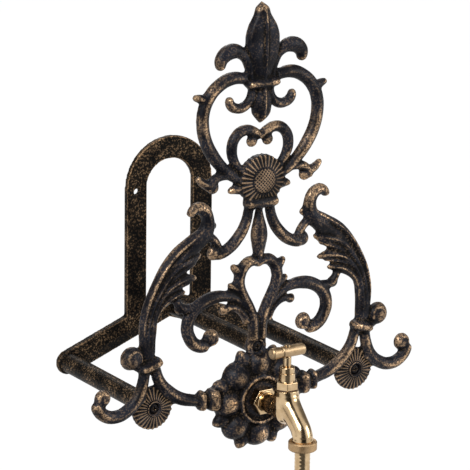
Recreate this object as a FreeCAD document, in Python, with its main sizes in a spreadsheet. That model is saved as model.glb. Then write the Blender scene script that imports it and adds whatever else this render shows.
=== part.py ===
import FreeCAD, Part
import math
import os
import re
import Sketcher

# A cast hose hanger for a wall: a plain bracket with three hose bars, an ornamental panel screwed to the bar
# ends, and a brass bib tap through the flower at the foot of the panel.
# Frame: the wall is the plane y = 0 and the hanger stands out towards -y, +z is up, and the origin is midway
# between the two wall screws. Lengths are millimetres.

Vector = FreeCAD.Vector
Rotation = FreeCAD.Rotation

UPRIGHT = Rotation()
FORWARD = Rotation(Vector(1, 0, 0), 90)
SIDEWAYS = Rotation(Vector(0, 1, 0), 90)

doc = FreeCAD.newDocument("hose_hanger")
sizes = doc.addObject("Spreadsheet::Sheet", "sizes")

DRIVING_SIZES = (
    # Bracket and bars
    ("bar_spacing", 236.0),
    ("centre_bar_rise", 43.6),
    ("screw_rise", 167.0),
    ("screw_spacing", 78.0),
    ("wall_hole", 6.5),
    ("stand_off", 162.0),
    ("plate_thickness", 6.0),
    ("leg_width", 23.0),
    ("arch_rise", 169.5),
    ("foot_width", 25.0),
    ("foot_crown", 5.0),
    ("bar_diameter", 20.0),
    ("centre_bar_diameter", 18.0),
    # Ornamental panel
    ("panel_rise", 387.5),
    ("boss_depth", 8.0),
    ("scroll_setback", 4.0),
    ("ridge_height", 12.0),
    ("ridge_spread", 8.0),
    ("wall_share", 0.4),
    ("clasp_height", 17.0),
    ("rosette_radius", 22.5),
    ("rosette_ribs", 24.0),
    ("rosette_crown", 0.6),
    ("shell_radius", 25.5),
    ("shell_ribs", 26.0),
    ("shell_eye", 10.5),
    ("flower_petals", 8.0),
    ("petal_radius", 15.5),
    ("petal_circle", 35.0),
    ("leaf_reach", 53.0),
    ("socket_radius", 25.0),
    ("socket_height", 11.0),
    ("socket_rim", 3.5),
    ("socket_dish", 4.0),
    ("screw_boss_radius", 11.0),
    ("screw_spot", 17.0),
    # Panel screws
    ("screw_thread", 6.0),
    ("screw_length", 22.0),
    ("screw_head", 11.0),
    ("screw_head_height", 3.6),
    ("screw_clearance", 0.3),
    # Tap body
    ("tap_drop", 8.5),
    ("inlet_thread", 20.955),
    ("inlet_tail", 24.0),
    ("inlet_bore", 11.0),
    ("flange_flats", 25.0),
    ("flange_thickness", 10.0),
    ("lock_nut_flats", 27.0),
    ("lock_nut_thickness", 7.0),
    ("neck_diameter", 19.0),
    ("spindle_reach", 52.0),
    ("barrel_diameter", 23.0),
    ("barrel_top", 23.5),
    ("barrel_bore", 17.0),
    ("seat_height", 7.0),
    ("seat_bore", 10.0),
    ("spout_reach", 29.0),
    ("spout_slope", 40.0),
    ("spout_bend", 14.0),
    ("bend_drop", 19.0),
    ("spout_root", 22.0),
    ("spout_diameter", 18.5),
    ("spout_bore", 9.0),
    ("chamber_way", 7.0),
    ("chamber_way_height", 11.0),
    ("spout_end", 24.0),
    ("spout_thread_length", 6.0),
    # Head of the tap
    ("bonnet_flats", 20.0),
    ("bonnet_hex", 7.5),
    ("bonnet_diameter", 16.0),
    ("bonnet_height", 16.0),
    ("washer_thickness", 1.0),
    ("gland_diameter", 15.0),
    ("gland_height", 6.5),
    ("gland_spigot", 12.0),
    ("gland_spigot_height", 2.2),
    ("gland_top", 2.0),
    ("stem_diameter", 8.0),
    ("stem_show", 9.0),
    ("spindle_thread", 11.0),
    ("spindle_thread_length", 14.0),
    ("stem_taper", 1.0),
    ("handle_length", 38.0),
    ("handle_diameter", 11.5),
    ("handle_pin", 6.4),
    ("pin_show", 1.0),
    ("valve_lift", 5.0),
    ("lift_gap", 0.8),
    ("jumper_diameter", 13.0),
    ("jumper_thickness", 2.5),
    ("jumper_stem", 4.6),
    ("jumper_stem_length", 8.0),
    ("jumper_room", 1.0),
    ("jumper_pin", 3.2),
    ("valve_washer_diameter", 12.4),
    ("valve_washer_thickness", 3.0),
    ("washer_nut_flats", 6.0),
    ("washer_nut_height", 2.4),
    # Hose union
    ("union_diameter", 28.0),
    ("union_height", 9.0),
    ("union_lip", 1.5),
    ("nut_chamfer", 1.0),
    ("tail_diameter", 16.0),
    ("tail_length", 23.5),
    ("tail_bore", 9.0),
    ("tail_collar", 2.0),
    ("union_washer", 2.0),
    ("tail_barbs", 5.0),
    ("barb_depth", 0.7),
    # Fits
    ("running_clearance", 0.06),
    ("thread_clearance", 0.08),
    ("seat_gap", 0.2),
)

for row, (alias, value) in enumerate(DRIVING_SIZES, start=1):
    sizes.set(f"A{row}", alias.replace("_", " "))
    sizes.set(f"B{row}", str(value))
    sizes.setAlias(f"B{row}", alias)
doc.recompute()
ALIASES = {alias for alias, value in DRIVING_SIZES}


def named(expression):
    """The expression with the sheet's name before each of its sizes."""
    return re.sub(r"[a-z_]+", lambda word: f"sizes.{word[0]}" if word[0] in ALIASES else word[0], expression)


def size(expression):
    """Number that an expression of the sheet's names gives."""
    return float(sizes.evalExpression(named(expression)))


# Helpers for the document's objects
def place(item, turn, at):
    item.Placement = FreeCAD.Placement(Vector(), turn)
    for axis, value in zip("xyz", at):
        item.setExpression(f"Placement.Base.{axis}", named(value))
    return item


def primitive(kind, name, turn, at, **bound):
    item = doc.addObject(kind, name)
    for key, value in bound.items():
        item.setExpression(key, named(value))
    return place(item, turn, at)


def cylinder(name, turn, at, diameter, length):
    return primitive("Part::Cylinder", name, turn, at, Radius=f"({diameter}) / 2", Height=length)


def hexagon(name, turn, at, flats, length):
    item = primitive("Part::Prism", name, turn, at, Circumradius=f"{flats} / sqrt(3)", Height=length)
    item.Polygon = 6
    return item


def join(label, items, refine=True):
    item = doc.addObject("Part::MultiFuse", label)
    item.Shapes = items
    item.Refine = refine
    return item


def cut(label, base, tool):
    item = doc.addObject("Part::Cut", label)
    item.Base = base
    item.Tool = tool
    return item


def turned(label, turn, at, profile):
    """A turned piece: a closed profile of (radius, height) corners revolved about its own upright axis."""
    body = doc.addObject("PartDesign::Body", label)
    sketch = body.newObject("Sketcher::SketchObject", f"{label}_profile")
    plane = next(item for item in body.Origin.OriginFeatures if item.Role == "XZ_Plane")
    sketch.AttachmentSupport = [(plane, "")]
    sketch.MapMode = "FlatFace"
    corners = [Vector(size(radius), size(height), 0) for radius, height in profile]
    count = len(corners)
    for index, corner in enumerate(corners):
        sketch.addGeometry(Part.LineSegment(corner, corners[(index + 1) % count]), False)
    for index in range(count):
        sketch.addConstraint(Sketcher.Constraint("Coincident", index, 2, (index + 1) % count, 1))
    for index, (corner, bound) in enumerate(zip(corners, profile)):
        for kind, value, expression, axis in zip(("DistanceX", "DistanceY"), corner, bound, (-2, -1)):
            if expression == "0":
                sketch.addConstraint(Sketcher.Constraint("PointOnObject", index, 1, axis))
            else:
                number = sketch.addConstraint(Sketcher.Constraint(kind, -1, 1, index, 1, value))
                sketch.setExpression(f"Constraints[{number}]", named(expression))
    feature = body.newObject("PartDesign::Revolution", f"{label}_turned")
    feature.Profile = sketch
    feature.ReferenceAxis = (sketch, ["V_Axis"])
    feature.Angle = 360
    return place(body, turn, at)


def ring(label, turn, at, inner, outer, height):
    """A plain washer between two diameters."""
    low, high = f"({inner}) / 2", f"({outer}) / 2"
    return turned(label, turn, at, ((low, "0"), (high, "0"), (high, height), (low, height)))


# Cast ornament: how far a stroke turns from one facet to the next, the shape of a blunt end as shares of its
# width, and the rings of a knob as shares of its radius
FACET_TURN = math.radians(26)
BLUNT_WIDTH = 5.0
BLUNT_REACH = 0.28
BLUNT_SHARE = 0.5
DOME_RINGS = ((1.0, 0.0), (0.92, 0.4), (0.7, 0.72), (0.3, 0.95))
KNOB_SIDES = 12
PETAL_SIDES = 16


def curve_through(places, steps):
    curve = Part.BSplineCurve()
    curve.interpolate(Points=places, Parameters=steps)
    return curve


def facet(*corners):
    return Part.Face(Part.makePolygon(list(corners) + [corners[0]]))


def solid_of(faces):
    shell = Part.makeShell(faces)
    shell.sewShape()
    solid = Part.makeSolid(shell)
    if solid.Volume < 0:
        solid.reverse()
    return solid


def section(middle, along, width, height):
    """Corners of a stroke across its run: back, side wall, ridge, side wall and back."""
    aside = Vector(-along.z, 0, along.x) * (width / 2)
    ridge = Vector(0, height * (1 - math.exp(-width / size("ridge_spread"))), 0)
    wall = ridge * size("wall_share")
    return middle + aside, middle + aside - wall, middle - ridge, middle - aside - wall, middle - aside


def scroll(middles, widths, height):
    """A cast stroke along a smooth middle line: flat back, low side walls, and two slopes up to a ridge."""
    steps = [0.0]
    for first, second in zip(middles, middles[1:]):
        steps.append(steps[-1] + first.distanceToPoint(second))
    spine = curve_through(middles, steps)
    breadth = curve_through([Vector(width, step, 0) for width, step in zip(widths, steps)], steps)
    stations = []
    for first, second in zip(steps, steps[1:]):
        turn = spine.tangent(first)[0].getAngle(spine.tangent(second)[0])
        count = max(1, math.ceil(turn / FACET_TURN))
        stations += [first + (second - first) * part / count for part in range(count)]
    stations.append(steps[-1])
    rungs = [(spine.value(station), spine.tangent(station)[0], breadth.value(station).x)
             for station in stations]
    for index, side in ((0, -1), (-1, 1)):
        middle, along, width = rungs[index]
        if width > BLUNT_WIDTH:
            tip = (middle + along * (side * BLUNT_REACH * width), along, BLUNT_SHARE * width)
            rungs = [tip] + rungs if side < 0 else rungs + [tip]
    sections = [section(middle, along, width, height) for middle, along, width in rungs]
    faces = [facet(*sections[0]), facet(*sections[-1])]
    for near, far in zip(sections, sections[1:]):
        left, left_top, ridge, right_top, right = near
        next_left, next_left_top, next_ridge, next_right_top, next_right = far
        faces += [facet(left, next_left, next_right, right), facet(left, next_left, next_left_top, left_top),
                  facet(right, next_right, next_right_top, right_top), facet(left_top, next_left_top, ridge),
                  facet(ridge, next_left_top, next_ridge), facet(right_top, ridge, next_right_top),
                  facet(ridge, next_ridge, next_right_top)]
    return solid_of(faces)


def dome(centre, radius, sides):
    """A round knob on the back plane, lofted through a few rings."""
    rings = []
    for share, rise in DOME_RINGS:
        corners = []
        for index in range(sides):
            angle = 2 * math.pi * (index + 0.37) / sides
            corners.append(centre + Vector(share * math.cos(angle), -rise, share * math.sin(angle)) * radius)
        rings.append(Part.makePolygon(corners + corners[:1]))
    return Part.makeLoft(rings, True, True)


# Places that several pieces share
HALF_SPAN = "bar_spacing / 2"
BAR_HEIGHT = "-screw_rise"
CENTRE_BAR_HEIGHT = "centre_bar_rise - screw_rise"
SEAT = "-stand_off"
FACE = "-stand_off - boss_depth"
SCREW_SEAT = f"{FACE} + screw_head_height"
TAP_HEIGHT = "-screw_rise - tap_drop"
FLANGE_SEAT = f"{FACE} - socket_height + socket_dish"
SPINDLE_Y = f"{FACE} - spindle_reach"
SPOUT_Y = f"{SPINDLE_Y} - spout_reach"
SCREW_HOLE = "screw_thread + 2 * thread_clearance"
PANEL_FIXINGS = (
    ("left", f"-{HALF_SPAN}", BAR_HEIGHT, "bar_diameter"),
    ("right", HALF_SPAN, BAR_HEIGHT, "bar_diameter"),
    ("centre", "0", CENTRE_BAR_HEIGHT, "centre_bar_diameter"),
)


def make_wall_bracket():
    """Arch on two legs, a chevron foot and three hose bars, cast in one piece."""
    radius = "(screw_spacing + leg_width) / 2"
    inside = "(screw_spacing - leg_width) / 2"
    arch_at = ("0", "0", "arch_rise - screw_rise")
    outer = primitive("Part::Cylinder", "arch_outer", FORWARD, arch_at, Radius=radius, Height="plate_thickness")
    inner = primitive("Part::Cylinder", "arch_inner", FORWARD, arch_at, Radius=inside, Height="plate_thickness")
    outer.Angle = 180
    inner.Angle = 180
    pieces = [cut("arch_crown", outer, inner)]
    leg_foot = "centre_bar_rise * (1 - screw_spacing / bar_spacing)"
    for side, left in (("left", f"-{radius}"), ("right", inside)):
        pieces.append(primitive(
            "Part::Box", f"{side}_leg", UPRIGHT, (left, "-plate_thickness", f"{leg_foot} - screw_rise"),
            Length="leg_width", Width="plate_thickness", Height=f"arch_rise - {leg_foot}"))
    slope = "atan2(centre_bar_rise; bar_spacing / 2)"
    run = "sqrt(bar_spacing * bar_spacing / 4 + centre_bar_rise * centre_bar_rise)"
    for side, angle, across, down in (("right", slope, 1, "-1"), ("left", f"180 deg - {slope}", -1, "1")):
        corner = (f"-foot_width / 2 * sin({slope})", "-plate_thickness",
                  f"{CENTRE_BAR_HEIGHT} + {down} * foot_width / 2 * cos({slope})")
        plate = primitive("Part::Box", f"{side}_foot", UPRIGHT, corner,
                          Length=run, Width="plate_thickness", Height="foot_width")
        plate.Placement = FreeCAD.Placement(Vector(), Rotation(Vector(0, 1, 0), 10))
        plate.setExpression("Placement.Rotation.Angle", named(angle))
        ends = (Vector(0, 0, size("centre_bar_rise")), Vector(across * size(HALF_SPAN), 0, 0))
        crown = doc.addObject("Part::Feature", f"{side}_foot_crown")
        crown.Shape = scroll(ends, [size("foot_width")] * 2, size("foot_crown"))
        pieces += [plate, place(crown, UPRIGHT, ("0", "-plate_thickness", BAR_HEIGHT))]
    holes = []
    for side, across, height, diameter in PANEL_FIXINGS:
        pieces.append(cylinder(f"{side}_bar", FORWARD, (across, "0", height), diameter, "stand_off"))
        pieces.append(cylinder(f"{side}_bar_pad", FORWARD, (across, "0", height), "foot_width",
                               "plate_thickness"))
        holes.append(cylinder(f"{side}_bar_thread", FORWARD, (across, f"{SCREW_SEAT} + screw_length", height),
                              SCREW_HOLE, "screw_length"))
    for side, across in (("left", "-screw_spacing / 2"), ("right", "screw_spacing / 2")):
        holes.append(cylinder(f"{side}_wall_hole", FORWARD, (across, "0", "0"), "wall_hole", "plate_thickness"))
    return cut("wall_bracket", join("bracket_casting", pieces), join("bracket_holes", holes))


# Ornament of the panel, drawn for the right half as (across, up, width) from the middle of the outer bars
SCROLLS = {
    "ring": ((18, 314, 11), (34, 315.5, 13), (49, 309.5, 13), (59.5, 299, 13), (65, 286, 13), (65.5, 272, 13),
             (62, 257.5, 13), (54.5, 243.5, 13), (44, 230.5, 12), (32, 220, 11), (20, 213, 8)),
    "ring nub": ((60, 296, 9), (68, 299.5, 9), (75, 301.5, 6)),
    "fleur petal": ((12, 311, 7), (14.5, 325, 9), (21, 337, 11), (33, 342, 15), (45, 336, 14), (46.5, 327, 10)),
    "lower curl": ((10, 305, 8), (12.5, 293, 9), (19, 286.5, 10), (27, 285.5, 10), (34.5, 290, 10),
                   (36, 296, 8)),
    "upper heart": ((22, 224, 8), (30, 235, 10), (32.5, 246, 11), (29, 257, 11), (19.5, 263, 11), (8, 261, 10),
                    (-2, 255, 7)),
    "shell ear": ((20, 206, 12), (28, 206, 10), (34.5, 204.5, 6)),
    "sprig": ((22, 216, 7), (42, 221, 9), (54, 217.5, 9), (59, 208, 8)),
    "sprig leaf": ((54, 213, 8), (63, 216, 9), (70.5, 222, 6)),
    "arm": ((11, 190, 10), (15.5, 171, 11), (24.5, 157, 12), (36, 147.5, 12), (48, 143.5, 11)),
    "arm link": ((44, 146, 8), (50, 157, 9), (60, 166, 9)),
    "lower heart": ((-2, 128, 8), (9, 131.5, 11), (17, 127, 12), (21.5, 118, 12), (21.5, 108, 12), (17, 97, 12),
                    (10.5, 85, 12), (5.5, 72, 12), (4, 52, 12)),
    "heart leaf upper": ((18, 118, 10), (25, 125, 10), (30, 129, 6)),
    "heart leaf lower": ((18, 101, 10), (27, 107, 9), (33, 110.5, 6)),
    "long scroll": ((13, 84, 8), (25.5, 96, 10), (38.5, 100.5, 11), (52.5, 101, 13), (66, 97, 13),
                    (76.5, 88.5, 13),
                    (81, 77, 13), (78.5, 65.5, 13), (70.5, 56, 13), (60, 53.5, 12)),
    "spur": ((12, 70, 8), (19, 82, 8), (30, 88, 8), (40, 86, 7)),
    "scroll link": ((76, 95, 9), (86, 95, 9), (94, 105, 8)),
    "acanthus": ((123.5, 44, 14), (126, 70, 17), (124, 94, 18), (113, 119.5, 19), (94, 143, 24), (72, 160, 20),
                 (60, 170, 15), (58.5, 182, 12), (64, 191.5, 12), (73, 193, 11), (79, 187.5, 8)),
    "lower lobe": ((122, 92, 10), (110, 104, 12), (96, 110, 11), (83.5, 111.5, 5)),
    "middle lobe": ((120, 104, 12), (106, 118, 15), (90, 124, 14), (71, 124, 5)),
    "upper lobe": ((110, 122, 14), (94, 136, 18), (80, 141, 14), (67, 146, 6)),
    "inner branch": ((118, 44, 11), (111.5, 26, 12), (101, 14, 13), (88, 5, 13), (70, -0.5, 12)),
    "outer branch": ((128, 44, 11), (131, 26, 12), (136.5, 13, 13), (147, 3.5, 13), (161, -1, 13),
                     (174.5, 3.5, 13),
                     (182, 14, 12)),
    "branch stem": ((145, 54, 12), (136, 46, 11), (126, 40, 11)),
    "rosette stay": ((118, 0, 14), (128, 8, 11), (134, 14, 9)),
    "rosette stay inner": ((118, 0, 14), (108, 8, 11), (102, 15, 9)),
    "knuckle": ((78, 1, 10), (60, -1, 11), (40, -3, 13)),
}
CENTRE_SCROLLS = {
    "fleur blade": ((0, 387.5, 1), (0, 382, 12.8), (0, 374, 18.5), (0, 367, 27), (0, 358, 34), (0, 350, 35.6),
                    (0, 340, 34), (0, 325, 25), (0, 310, 16)),
    "fleur bud": ((0, 306, 15), (0, 290, 20), (0, 283, 20.5), (0, 276, 16), (0, 267, 1)),
    "long bud": ((0, 192, 5), (0, 176, 10), (0, 160, 17.2), (0, 148, 15), (0, 136, 10), (0, 127, 5)),
    "shell neck": ((0, 214, 46), (0, 203, 38), (0, 190, 34)),
    "stem": ((0, 66, 17), (0, 50, 22), (0, 24, 24)),
}
CLASPS = {
    "fleur clasp": ((-17, 308.7, 10), (0, 308.7, 10.5), (17, 308.7, 10)),
    "shell collar": ((-16.5, 191, 11), (0, 191, 11.5), (16.5, 191, 11)),
}
SIDE_CLASPS = {
    "branch clasp": ((112.5, 48.5, 10), (123, 45.5, 10.5), (134, 42.2, 10)),
    "knuckle bead": ((53, -11, 12), (53, -2, 13), (53, 8, 12)),
    "knuckle ring": ((65, -10, 8), (65, -1.2, 8.5), (65, 8, 8)),
}
BALLS = ((9, 251.5, 6.5), (53, 211, 7), (51, 146, 8), (54, 61, 9), (39, 86.5, 5.5), (89, 96, 6.5),
         (52, 173, 4.5), (143.5, 54.7, 12), (175, 20, 9))
DRAWN_SPAN = 118.0
DRAWN_RISE = 387.5
SHELL_HEIGHT = 213.0


def to_panel(across, up):
    """A drawn place, stretched with the panel's span and height."""
    return Vector(across * size(HALF_SPAN) / DRAWN_SPAN, 0, up * size("panel_rise") / DRAWN_RISE)


def drawn(outline, height):
    """A stroke of the drawn ornament."""
    middles = [to_panel(across, up) for across, up, width in outline]
    return scroll(middles, [width for across, up, width in outline], height)


def mirrored(shape):
    return shape.mirror(Vector(), Vector(1, 0, 0))


def make_scrollwork():
    """All the strokes of the panel on their common back plane, as one solid."""
    ridge, clasp = size("ridge_height"), size("clasp_height")
    half = [drawn(outline, ridge) for outline in SCROLLS.values()]
    half += [drawn(outline, clasp) for outline in SIDE_CLASPS.values()]
    half += [dome(to_panel(across, up), radius, KNOB_SIDES) for across, up, radius in BALLS]
    strokes = half + [mirrored(shape) for shape in half]
    strokes += [drawn(outline, ridge) for outline in CENTRE_SCROLLS.values()]
    strokes += [drawn(outline, clasp) for outline in CLASPS.values()]
    item = doc.addObject("Part::Feature", "scrollwork")
    item.Shape = strokes[0].multiFuse(strokes[1:])
    return place(item, UPRIGHT, ("0", f"{FACE} + scroll_setback", BAR_HEIGHT))


RIB_EYE = 0.42
RIB_SCALLOP = 0.06


def ribbed(name, radius, ribs, eye_height, rib_height, hollow_height, at):
    """A round boss with a flat eye and radial ribs that end in a scalloped rim."""
    foot, rim, eye = [], [], []
    for index in range(2 * ribs):
        angle = math.pi * index / ribs
        outward = Vector(math.cos(angle), 0, math.sin(angle))
        hollow = index % 2
        reach = outward * (radius * (1 - RIB_SCALLOP * hollow))
        foot.append(reach)
        rim.append(reach - Vector(0, hollow_height if hollow else rib_height, 0))
        eye.append(outward * (radius * RIB_EYE) - Vector(0, eye_height, 0))
    faces = [facet(*foot), facet(*eye)]
    for index in range(2 * ribs):
        after = (index + 1) % (2 * ribs)
        faces += [facet(foot[index], foot[after], rim[after], rim[index]),
                  facet(rim[index], rim[after], eye[index]), facet(rim[after], eye[after], eye[index])]
    item = doc.addObject("Part::Feature", name)
    item.Shape = solid_of(faces)
    return place(item, UPRIGHT, at)


def make_flower():
    """Eight round petals and eight pointed leaves around the socket that the tap stands in."""
    at = ("0", f"{FACE} + scroll_setback", TAP_HEIGHT)
    pieces = [cylinder("flower_disc", FORWARD, at, "2 * petal_circle", "ridge_height / 2"),
              cylinder("flower_hub", FORWARD, ("0", SEAT, TAP_HEIGHT), "2 * socket_radius",
                       "boss_depth + socket_height")]
    count = round(size("flower_petals"))
    for index in range(count):
        angle = 2 * math.pi * index / count
        middle = Vector(math.cos(angle), 0, math.sin(angle)) * size("petal_circle")
        petal = doc.addObject("Part::Feature", f"petal_{index + 1}")
        petal.Shape = dome(middle, size("petal_radius"), PETAL_SIDES)
        pieces.append(place(petal, UPRIGHT, at))
        angle = 2 * math.pi * (index + 0.5) / count
        outward = Vector(math.cos(angle), 0, math.sin(angle))
        reaches = [size(reach) for reach in ("socket_radius - socket_rim / 2", "petal_circle", "leaf_reach")]
        breadth = size("petal_radius")
        leaf = doc.addObject("Part::Feature", f"flower_leaf_{index + 1}")
        leaf.Shape = scroll([outward * reach for reach in reaches], (breadth, breadth, breadth / 2),
                            size("ridge_height"))
        pieces.append(place(leaf, UPRIGHT, at))
    return pieces


def make_front_panel():
    """Scrollwork, rosettes, shell and flower as one casting, with its screw holes and the tap's hole."""
    pieces = [make_scrollwork()] + make_flower()
    boss, ridge = size("boss_depth"), size("ridge_height")
    for side, across, height, diameter in PANEL_FIXINGS[:2]:
        pieces.append(ribbed(f"{side}_rosette", size("rosette_radius"), round(size("rosette_ribs")),
                             boss + size("rosette_crown"), 0.8 * boss, 0.55 * boss, (across, SEAT, height)))
    pieces.append(cylinder("screw_boss", FORWARD, ("0", SEAT, CENTRE_BAR_HEIGHT), "2 * screw_boss_radius",
                           "boss_depth"))
    shell_at = ("0", f"{FACE} + scroll_setback", f"{BAR_HEIGHT} + {SHELL_HEIGHT} * panel_rise / {DRAWN_RISE}")
    pieces.append(ribbed("shell", size("shell_radius"), round(size("shell_ribs")), ridge, 0.75 * ridge,
                         0.5 * ridge, shell_at))
    eye = doc.addObject("Part::Feature", "shell_eye")
    eye.Shape = dome(Vector(0, -ridge / 2, 0), size("shell_eye"), PETAL_SIDES)
    pieces.append(place(eye, UPRIGHT, shell_at))
    holes = [cylinder("tap_hole", FORWARD, ("0", SEAT, TAP_HEIGHT), "inlet_thread + 2 * thread_clearance",
                      "boss_depth + socket_height"),
             cylinder("socket_dish", FORWARD, ("0", FLANGE_SEAT, TAP_HEIGHT),
                      "2 * socket_radius - 2 * socket_rim", "socket_dish"),
             cylinder("screw_spot", FORWARD, ("0", FACE, CENTRE_BAR_HEIGHT), "screw_spot", "clasp_height")]
    for side, across, height, diameter in PANEL_FIXINGS:
        holes.append(cylinder(f"{side}_screw_hole", FORWARD, (across, SEAT, height),
                              "screw_thread + 2 * screw_clearance", "boss_depth"))
        holes.append(cylinder(f"{side}_screw_recess", FORWARD, (across, SCREW_SEAT, height),
                              "screw_head + 2 * screw_clearance", "3 * screw_head_height"))
    return cut("front_panel", join("panel_casting", pieces, False), join("panel_holes", holes))


def make_panel_screws():
    """Three pan-head screws through the panel into the bar ends."""
    screws = []
    for side, across, height, diameter in PANEL_FIXINGS:
        thread, head = "screw_thread / 2", "screw_head / 2"
        profile = (("0", "0"), (thread, "0"), (thread, "screw_length"), (head, "screw_length"),
                   (head, "screw_length + screw_head_height * 0.55"),
                   ("screw_head * 0.3", "screw_length + screw_head_height"),
                   ("0", "screw_length + screw_head_height"))
        foot = (across, f"{SCREW_SEAT} + screw_length", height)
        screws.append(turned(f"{side}_screw", FORWARD, foot, profile))
    group = doc.addObject("Part::Compound", "panel_screws")
    group.Links = screws
    return group


# The tap, in the plane of symmetry of the hanger
BEND_TURN = Rotation(Vector(0, -1, 0), Vector(0, 0, 1), Vector(-1, 0, 0), "XYZ")
INLET_END = "-stand_off + inlet_tail"
SPOUT_FOOT = f"{TAP_HEIGHT} - spout_end"
BEND_Y = f"{SPOUT_Y} + spout_bend"
BEND_HEIGHT = f"{TAP_HEIGHT} - bend_drop"
SLOPE = "(spout_slope * 1 deg)"
RUN_AT = ("0", f"{BEND_Y} - spout_bend * sin{SLOPE}", f"{BEND_HEIGHT} + spout_bend * cos{SLOPE}")
RUN_ACROSS = f"(spout_reach - spout_bend + spout_bend * sin{SLOPE})"


def spout(name, root, diameter, stop):
    """The curved spout, or its bore: down a slope from the barrel, round a bend and straight down."""
    run = primitive("Part::Cone", f"{name}_run", UPRIGHT, RUN_AT, Radius1=f"({diameter}) / 2",
                    Radius2=f"({root}) / 2", Height=f"({RUN_ACROSS} - ({stop})) / cos{SLOPE}")
    run.Placement = FreeCAD.Placement(Vector(), Rotation(Vector(-1, 0, 0), 10))
    run.setExpression("Placement.Rotation.Angle", named("90 deg - spout_slope * 1 deg"))
    bend = primitive("Part::Torus", f"{name}_bend", BEND_TURN, ("0", BEND_Y, BEND_HEIGHT),
                     Radius1="spout_bend", Radius2=f"({diameter}) / 2", Angle3="90 deg - spout_slope * 1 deg")
    down = cylinder(f"{name}_down", UPRIGHT, ("0", SPOUT_Y, SPOUT_FOOT), diameter, "spout_end - bend_drop")
    return [run, bend, down]


def make_tap_body():
    """Inlet thread, hex flange, neck, barrel and spout in one casting, with the water's way through it."""
    base = ("0", SPINDLE_Y, TAP_HEIGHT)
    inlet = f"-({FLANGE_SEAT}) + {INLET_END}"
    neck = "spindle_reach - socket_height + socket_dish"
    pieces = [
        cylinder("inlet_stub", FORWARD, ("0", INLET_END, TAP_HEIGHT), "inlet_thread", inlet),
        hexagon("flange", FORWARD, ("0", FLANGE_SEAT, TAP_HEIGHT), "flange_flats", "flange_thickness"),
        cylinder("neck", FORWARD, ("0", FLANGE_SEAT, TAP_HEIGHT), "neck_diameter", neck),
        cylinder("barrel", UPRIGHT, base, "barrel_diameter", "barrel_top"),
        primitive("Part::Sphere", "barrel_foot", UPRIGHT, base, Radius="barrel_diameter / 2"),
        cylinder("spout_thread", UPRIGHT, ("0", SPOUT_Y, SPOUT_FOOT), "inlet_thread", "spout_thread_length"),
    ] + spout("spout", "spout_root", "spout_diameter", "0")
    ways = [
        cylinder("inlet_way", FORWARD, ("0", INLET_END, TAP_HEIGHT), "inlet_bore", f"{inlet} + {neck}"),
        cylinder("seat_way", UPRIGHT, base, "seat_bore", "seat_height"),
        cylinder("chamber", UPRIGHT, ("0", SPINDLE_Y, f"{TAP_HEIGHT} + seat_height"), "barrel_bore",
                 "barrel_top - seat_height"),
        cylinder("chamber_way", FORWARD, ("0", SPINDLE_Y, f"{TAP_HEIGHT} + chamber_way_height"), "chamber_way",
                 "barrel_bore / 2 + chamber_way / 2"),
    ] + spout("spout_way", "spout_bore", "spout_bore", "barrel_bore / 2 + seat_gap")
    return cut("tap_body", join("tap_casting", pieces), join("tap_ways", ways))


BARREL_TOP = f"{TAP_HEIGHT} + barrel_top"
VALVE_FOOT = f"{TAP_HEIGHT} + seat_height + seat_gap"
JUMPER_FOOT = f"{VALVE_FOOT} + valve_washer_thickness"
JUMPER_TOP = f"{JUMPER_FOOT} + jumper_thickness"
SPINDLE_FOOT = f"{JUMPER_TOP} + running_clearance"
BONNET_FOOT = f"{JUMPER_TOP} + valve_lift + lift_gap"
BONNET_SHOULDER = f"({BARREL_TOP} + washer_thickness - ({BONNET_FOOT}))"
BONNET_RISE = f"{BONNET_SHOULDER} + bonnet_height"
BONNET_TOP = f"{BARREL_TOP} + washer_thickness + bonnet_height"
STEM_TOP = f"{BONNET_TOP} + gland_height + stem_show"


def make_bonnet():
    """Head part: threaded foot in the barrel, hexagon, sleeve for the spindle, and the gland's spigot."""
    at = ("0", SPINDLE_Y, BONNET_FOOT)
    foot = "barrel_bore / 2 - thread_clearance"
    sleeve, spigot = "bonnet_diameter / 2", "gland_spigot / 2"
    shape = turned("bonnet_sleeve", UPRIGHT, at, (
        ("0", "0"), (foot, "0"), (foot, BONNET_SHOULDER), (sleeve, BONNET_SHOULDER), (sleeve, BONNET_RISE),
        (spigot, BONNET_RISE),
        (spigot, f"{BONNET_RISE} + gland_spigot_height"), ("0", f"{BONNET_RISE} + gland_spigot_height")))
    nut = hexagon("bonnet_hexagon", UPRIGHT, ("0", SPINDLE_Y, f"{BARREL_TOP} + washer_thickness"),
                  "bonnet_flats", "bonnet_hex")
    thread_top = f"{SPINDLE_FOOT} + spindle_thread_length + stem_taper"
    travel = f"{thread_top} + valve_lift + lift_gap - ({BONNET_FOOT})"
    bores = [cylinder("spindle_bore", UPRIGHT, at, "spindle_thread + 2 * running_clearance", travel),
             cylinder("stem_bore", UPRIGHT, at, "stem_diameter + 2 * running_clearance",
                      f"{BONNET_RISE} + gland_spigot_height")]
    return cut("bonnet", join("bonnet_blank", [shape, nut]), join("bonnet_bores", bores))


def make_seals():
    """Rings that seal the bonnet, the spindle and the hose union."""
    stem = "stem_diameter + 2 * running_clearance"
    return [
        ring("bonnet_washer", UPRIGHT, ("0", SPINDLE_Y, BARREL_TOP), "barrel_bore", "bonnet_flats",
             "washer_thickness"),
        ring("gland_packing", UPRIGHT, ("0", SPINDLE_Y, f"{BONNET_TOP} + gland_spigot_height"), stem,
             "gland_spigot", "gland_height - gland_top - gland_spigot_height"),
        ring("union_washer", UPRIGHT, ("0", SPOUT_Y, f"{SPOUT_FOOT} - union_washer"), "tail_bore",
             "inlet_thread - 2 * screw_clearance", "union_washer"),
    ]


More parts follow.
